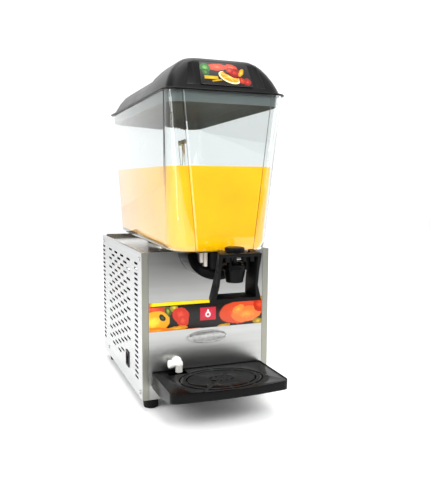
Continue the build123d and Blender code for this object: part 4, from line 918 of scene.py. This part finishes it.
studio = {
    "world": 1.2,  # strength all round
    "worldFront": 0.3,
    "worldLeft": 0.7,
    "key": 26.0,  # the lamps, in watts
    "fill": 8.0,
    "top": 14.0,
    "front": 18.0,
    "strip": 4.5,
}
bpy.ops.object.select_all(action="DESELECT")
bpy.ops.mesh.primitive_plane_add(size=9, location=(0, 0, 0))
floor = bpy.context.active_object
floor.name = "studioFloor"
pick(floor, "EDGE", lambda at, run: at.y < -4000)
move(y=3400)  # the floor ends close in front, so that it doesn't light the steel from below
leave(floor)
paper, tree, shader, point = startMaterial("matteBackdropPaper", Roughness=0.9)
fibre = addNode(tree, "ShaderNodeTexNoise", {"Scale": 90.0}, {"Vector": point}).outputs[0]
paperTones = {"stops": [(0.3, tone("FDFDFD")), (0.7, tone("FFFFFF"))]}
feed(tree, shader, {"Base Color": addNode(tree, "ShaderNodeValToRGB", paperTones, {0: fibre}).outputs[0]})
floor.data.materials.append(paper)

world = bpy.data.worlds.new("studioWorld")
world.use_nodes = True
# bright all round, with the dark end of the studio low down in front; the eye itself sees white
sky = world.node_tree
backdrop = sky.nodes["Background"]
backdrop.inputs["Color"].default_value = tone("FFFFFF")
heading = addNode(sky, "ShaderNodeTexCoord").outputs["Generated"]
headX, headY, headZ = addNode(sky, "ShaderNodeSeparateXYZ", {}, {0: heading}).outputs
inFront = addNode(sky, "ShaderNodeMapRange", {"From Min": -0.3, "From Max": -0.7}, {"Value": headY}).outputs[0]
lowDown = addNode(sky, "ShaderNodeMapRange", {"From Min": 0.55, "From Max": 0.25}, {"Value": headZ}).outputs[0]
dark = addNode(sky, "ShaderNodeMath", {"operation": "MULTIPLY"}, {0: inFront, 1: lowDown}).outputs[0]
leftward = {"From Min": -0.1, "From Max": -0.5, "To Min": studio["world"], "To Max": studio["worldLeft"]}
side = addNode(sky, "ShaderNodeMapRange", leftward, {"Value": headX}).outputs[0]
level = addNode(sky, "ShaderNodeMapRange", {"To Max": studio["worldFront"]}, {"Value": dark, "To Min": side})
fromEye = addNode(sky, "ShaderNodeLightPath").outputs["Is Camera Ray"]
seen = addNode(sky, "ShaderNodeMath", {"operation": "MAXIMUM"}, {0: level.outputs[0], 1: fromEye})
sky.links.new(seen.outputs[0], backdrop.inputs["Strength"])
bpy.context.scene.world = world
bpy.context.scene.view_settings.view_transform = "Standard"


def softbox(name, at, target, width, height, power):
    # a rectangular lamp aimed at a target, all in millimetres
    bpy.ops.object.light_add(type="AREA", location=[c * mm for c in at])
    lamp = bpy.context.active_object
    lamp.name = name
    lamp.data.shape = "RECTANGLE"
    lamp.data.size = width * mm
    lamp.data.size_y = height * mm
    lamp.data.energy = power
    lamp.rotation_euler = (Vector(target) - Vector(at)).to_track_quat("-Z", "Y").to_euler()


softbox("keySoftbox", (-1500, -1100, 1500), (0, 0, 280), 1200, 1200, studio["key"])
softbox("fillSoftbox", (1500, -900, 900), (0, 0, 250), 900, 1300, studio["fill"])
softbox("topSoftbox", (0, 100, 2000), (0, 0, 300), 1400, 1400, studio["top"])
softbox("frontSoftbox", (300, -1700, 1500), (0, -100, 200), 1600, 600, studio["front"])
softbox("stripSoftbox", (-1900, -100, 700), (0, 0, 420), 110, 1500, studio["strip"])
print("studio ready")
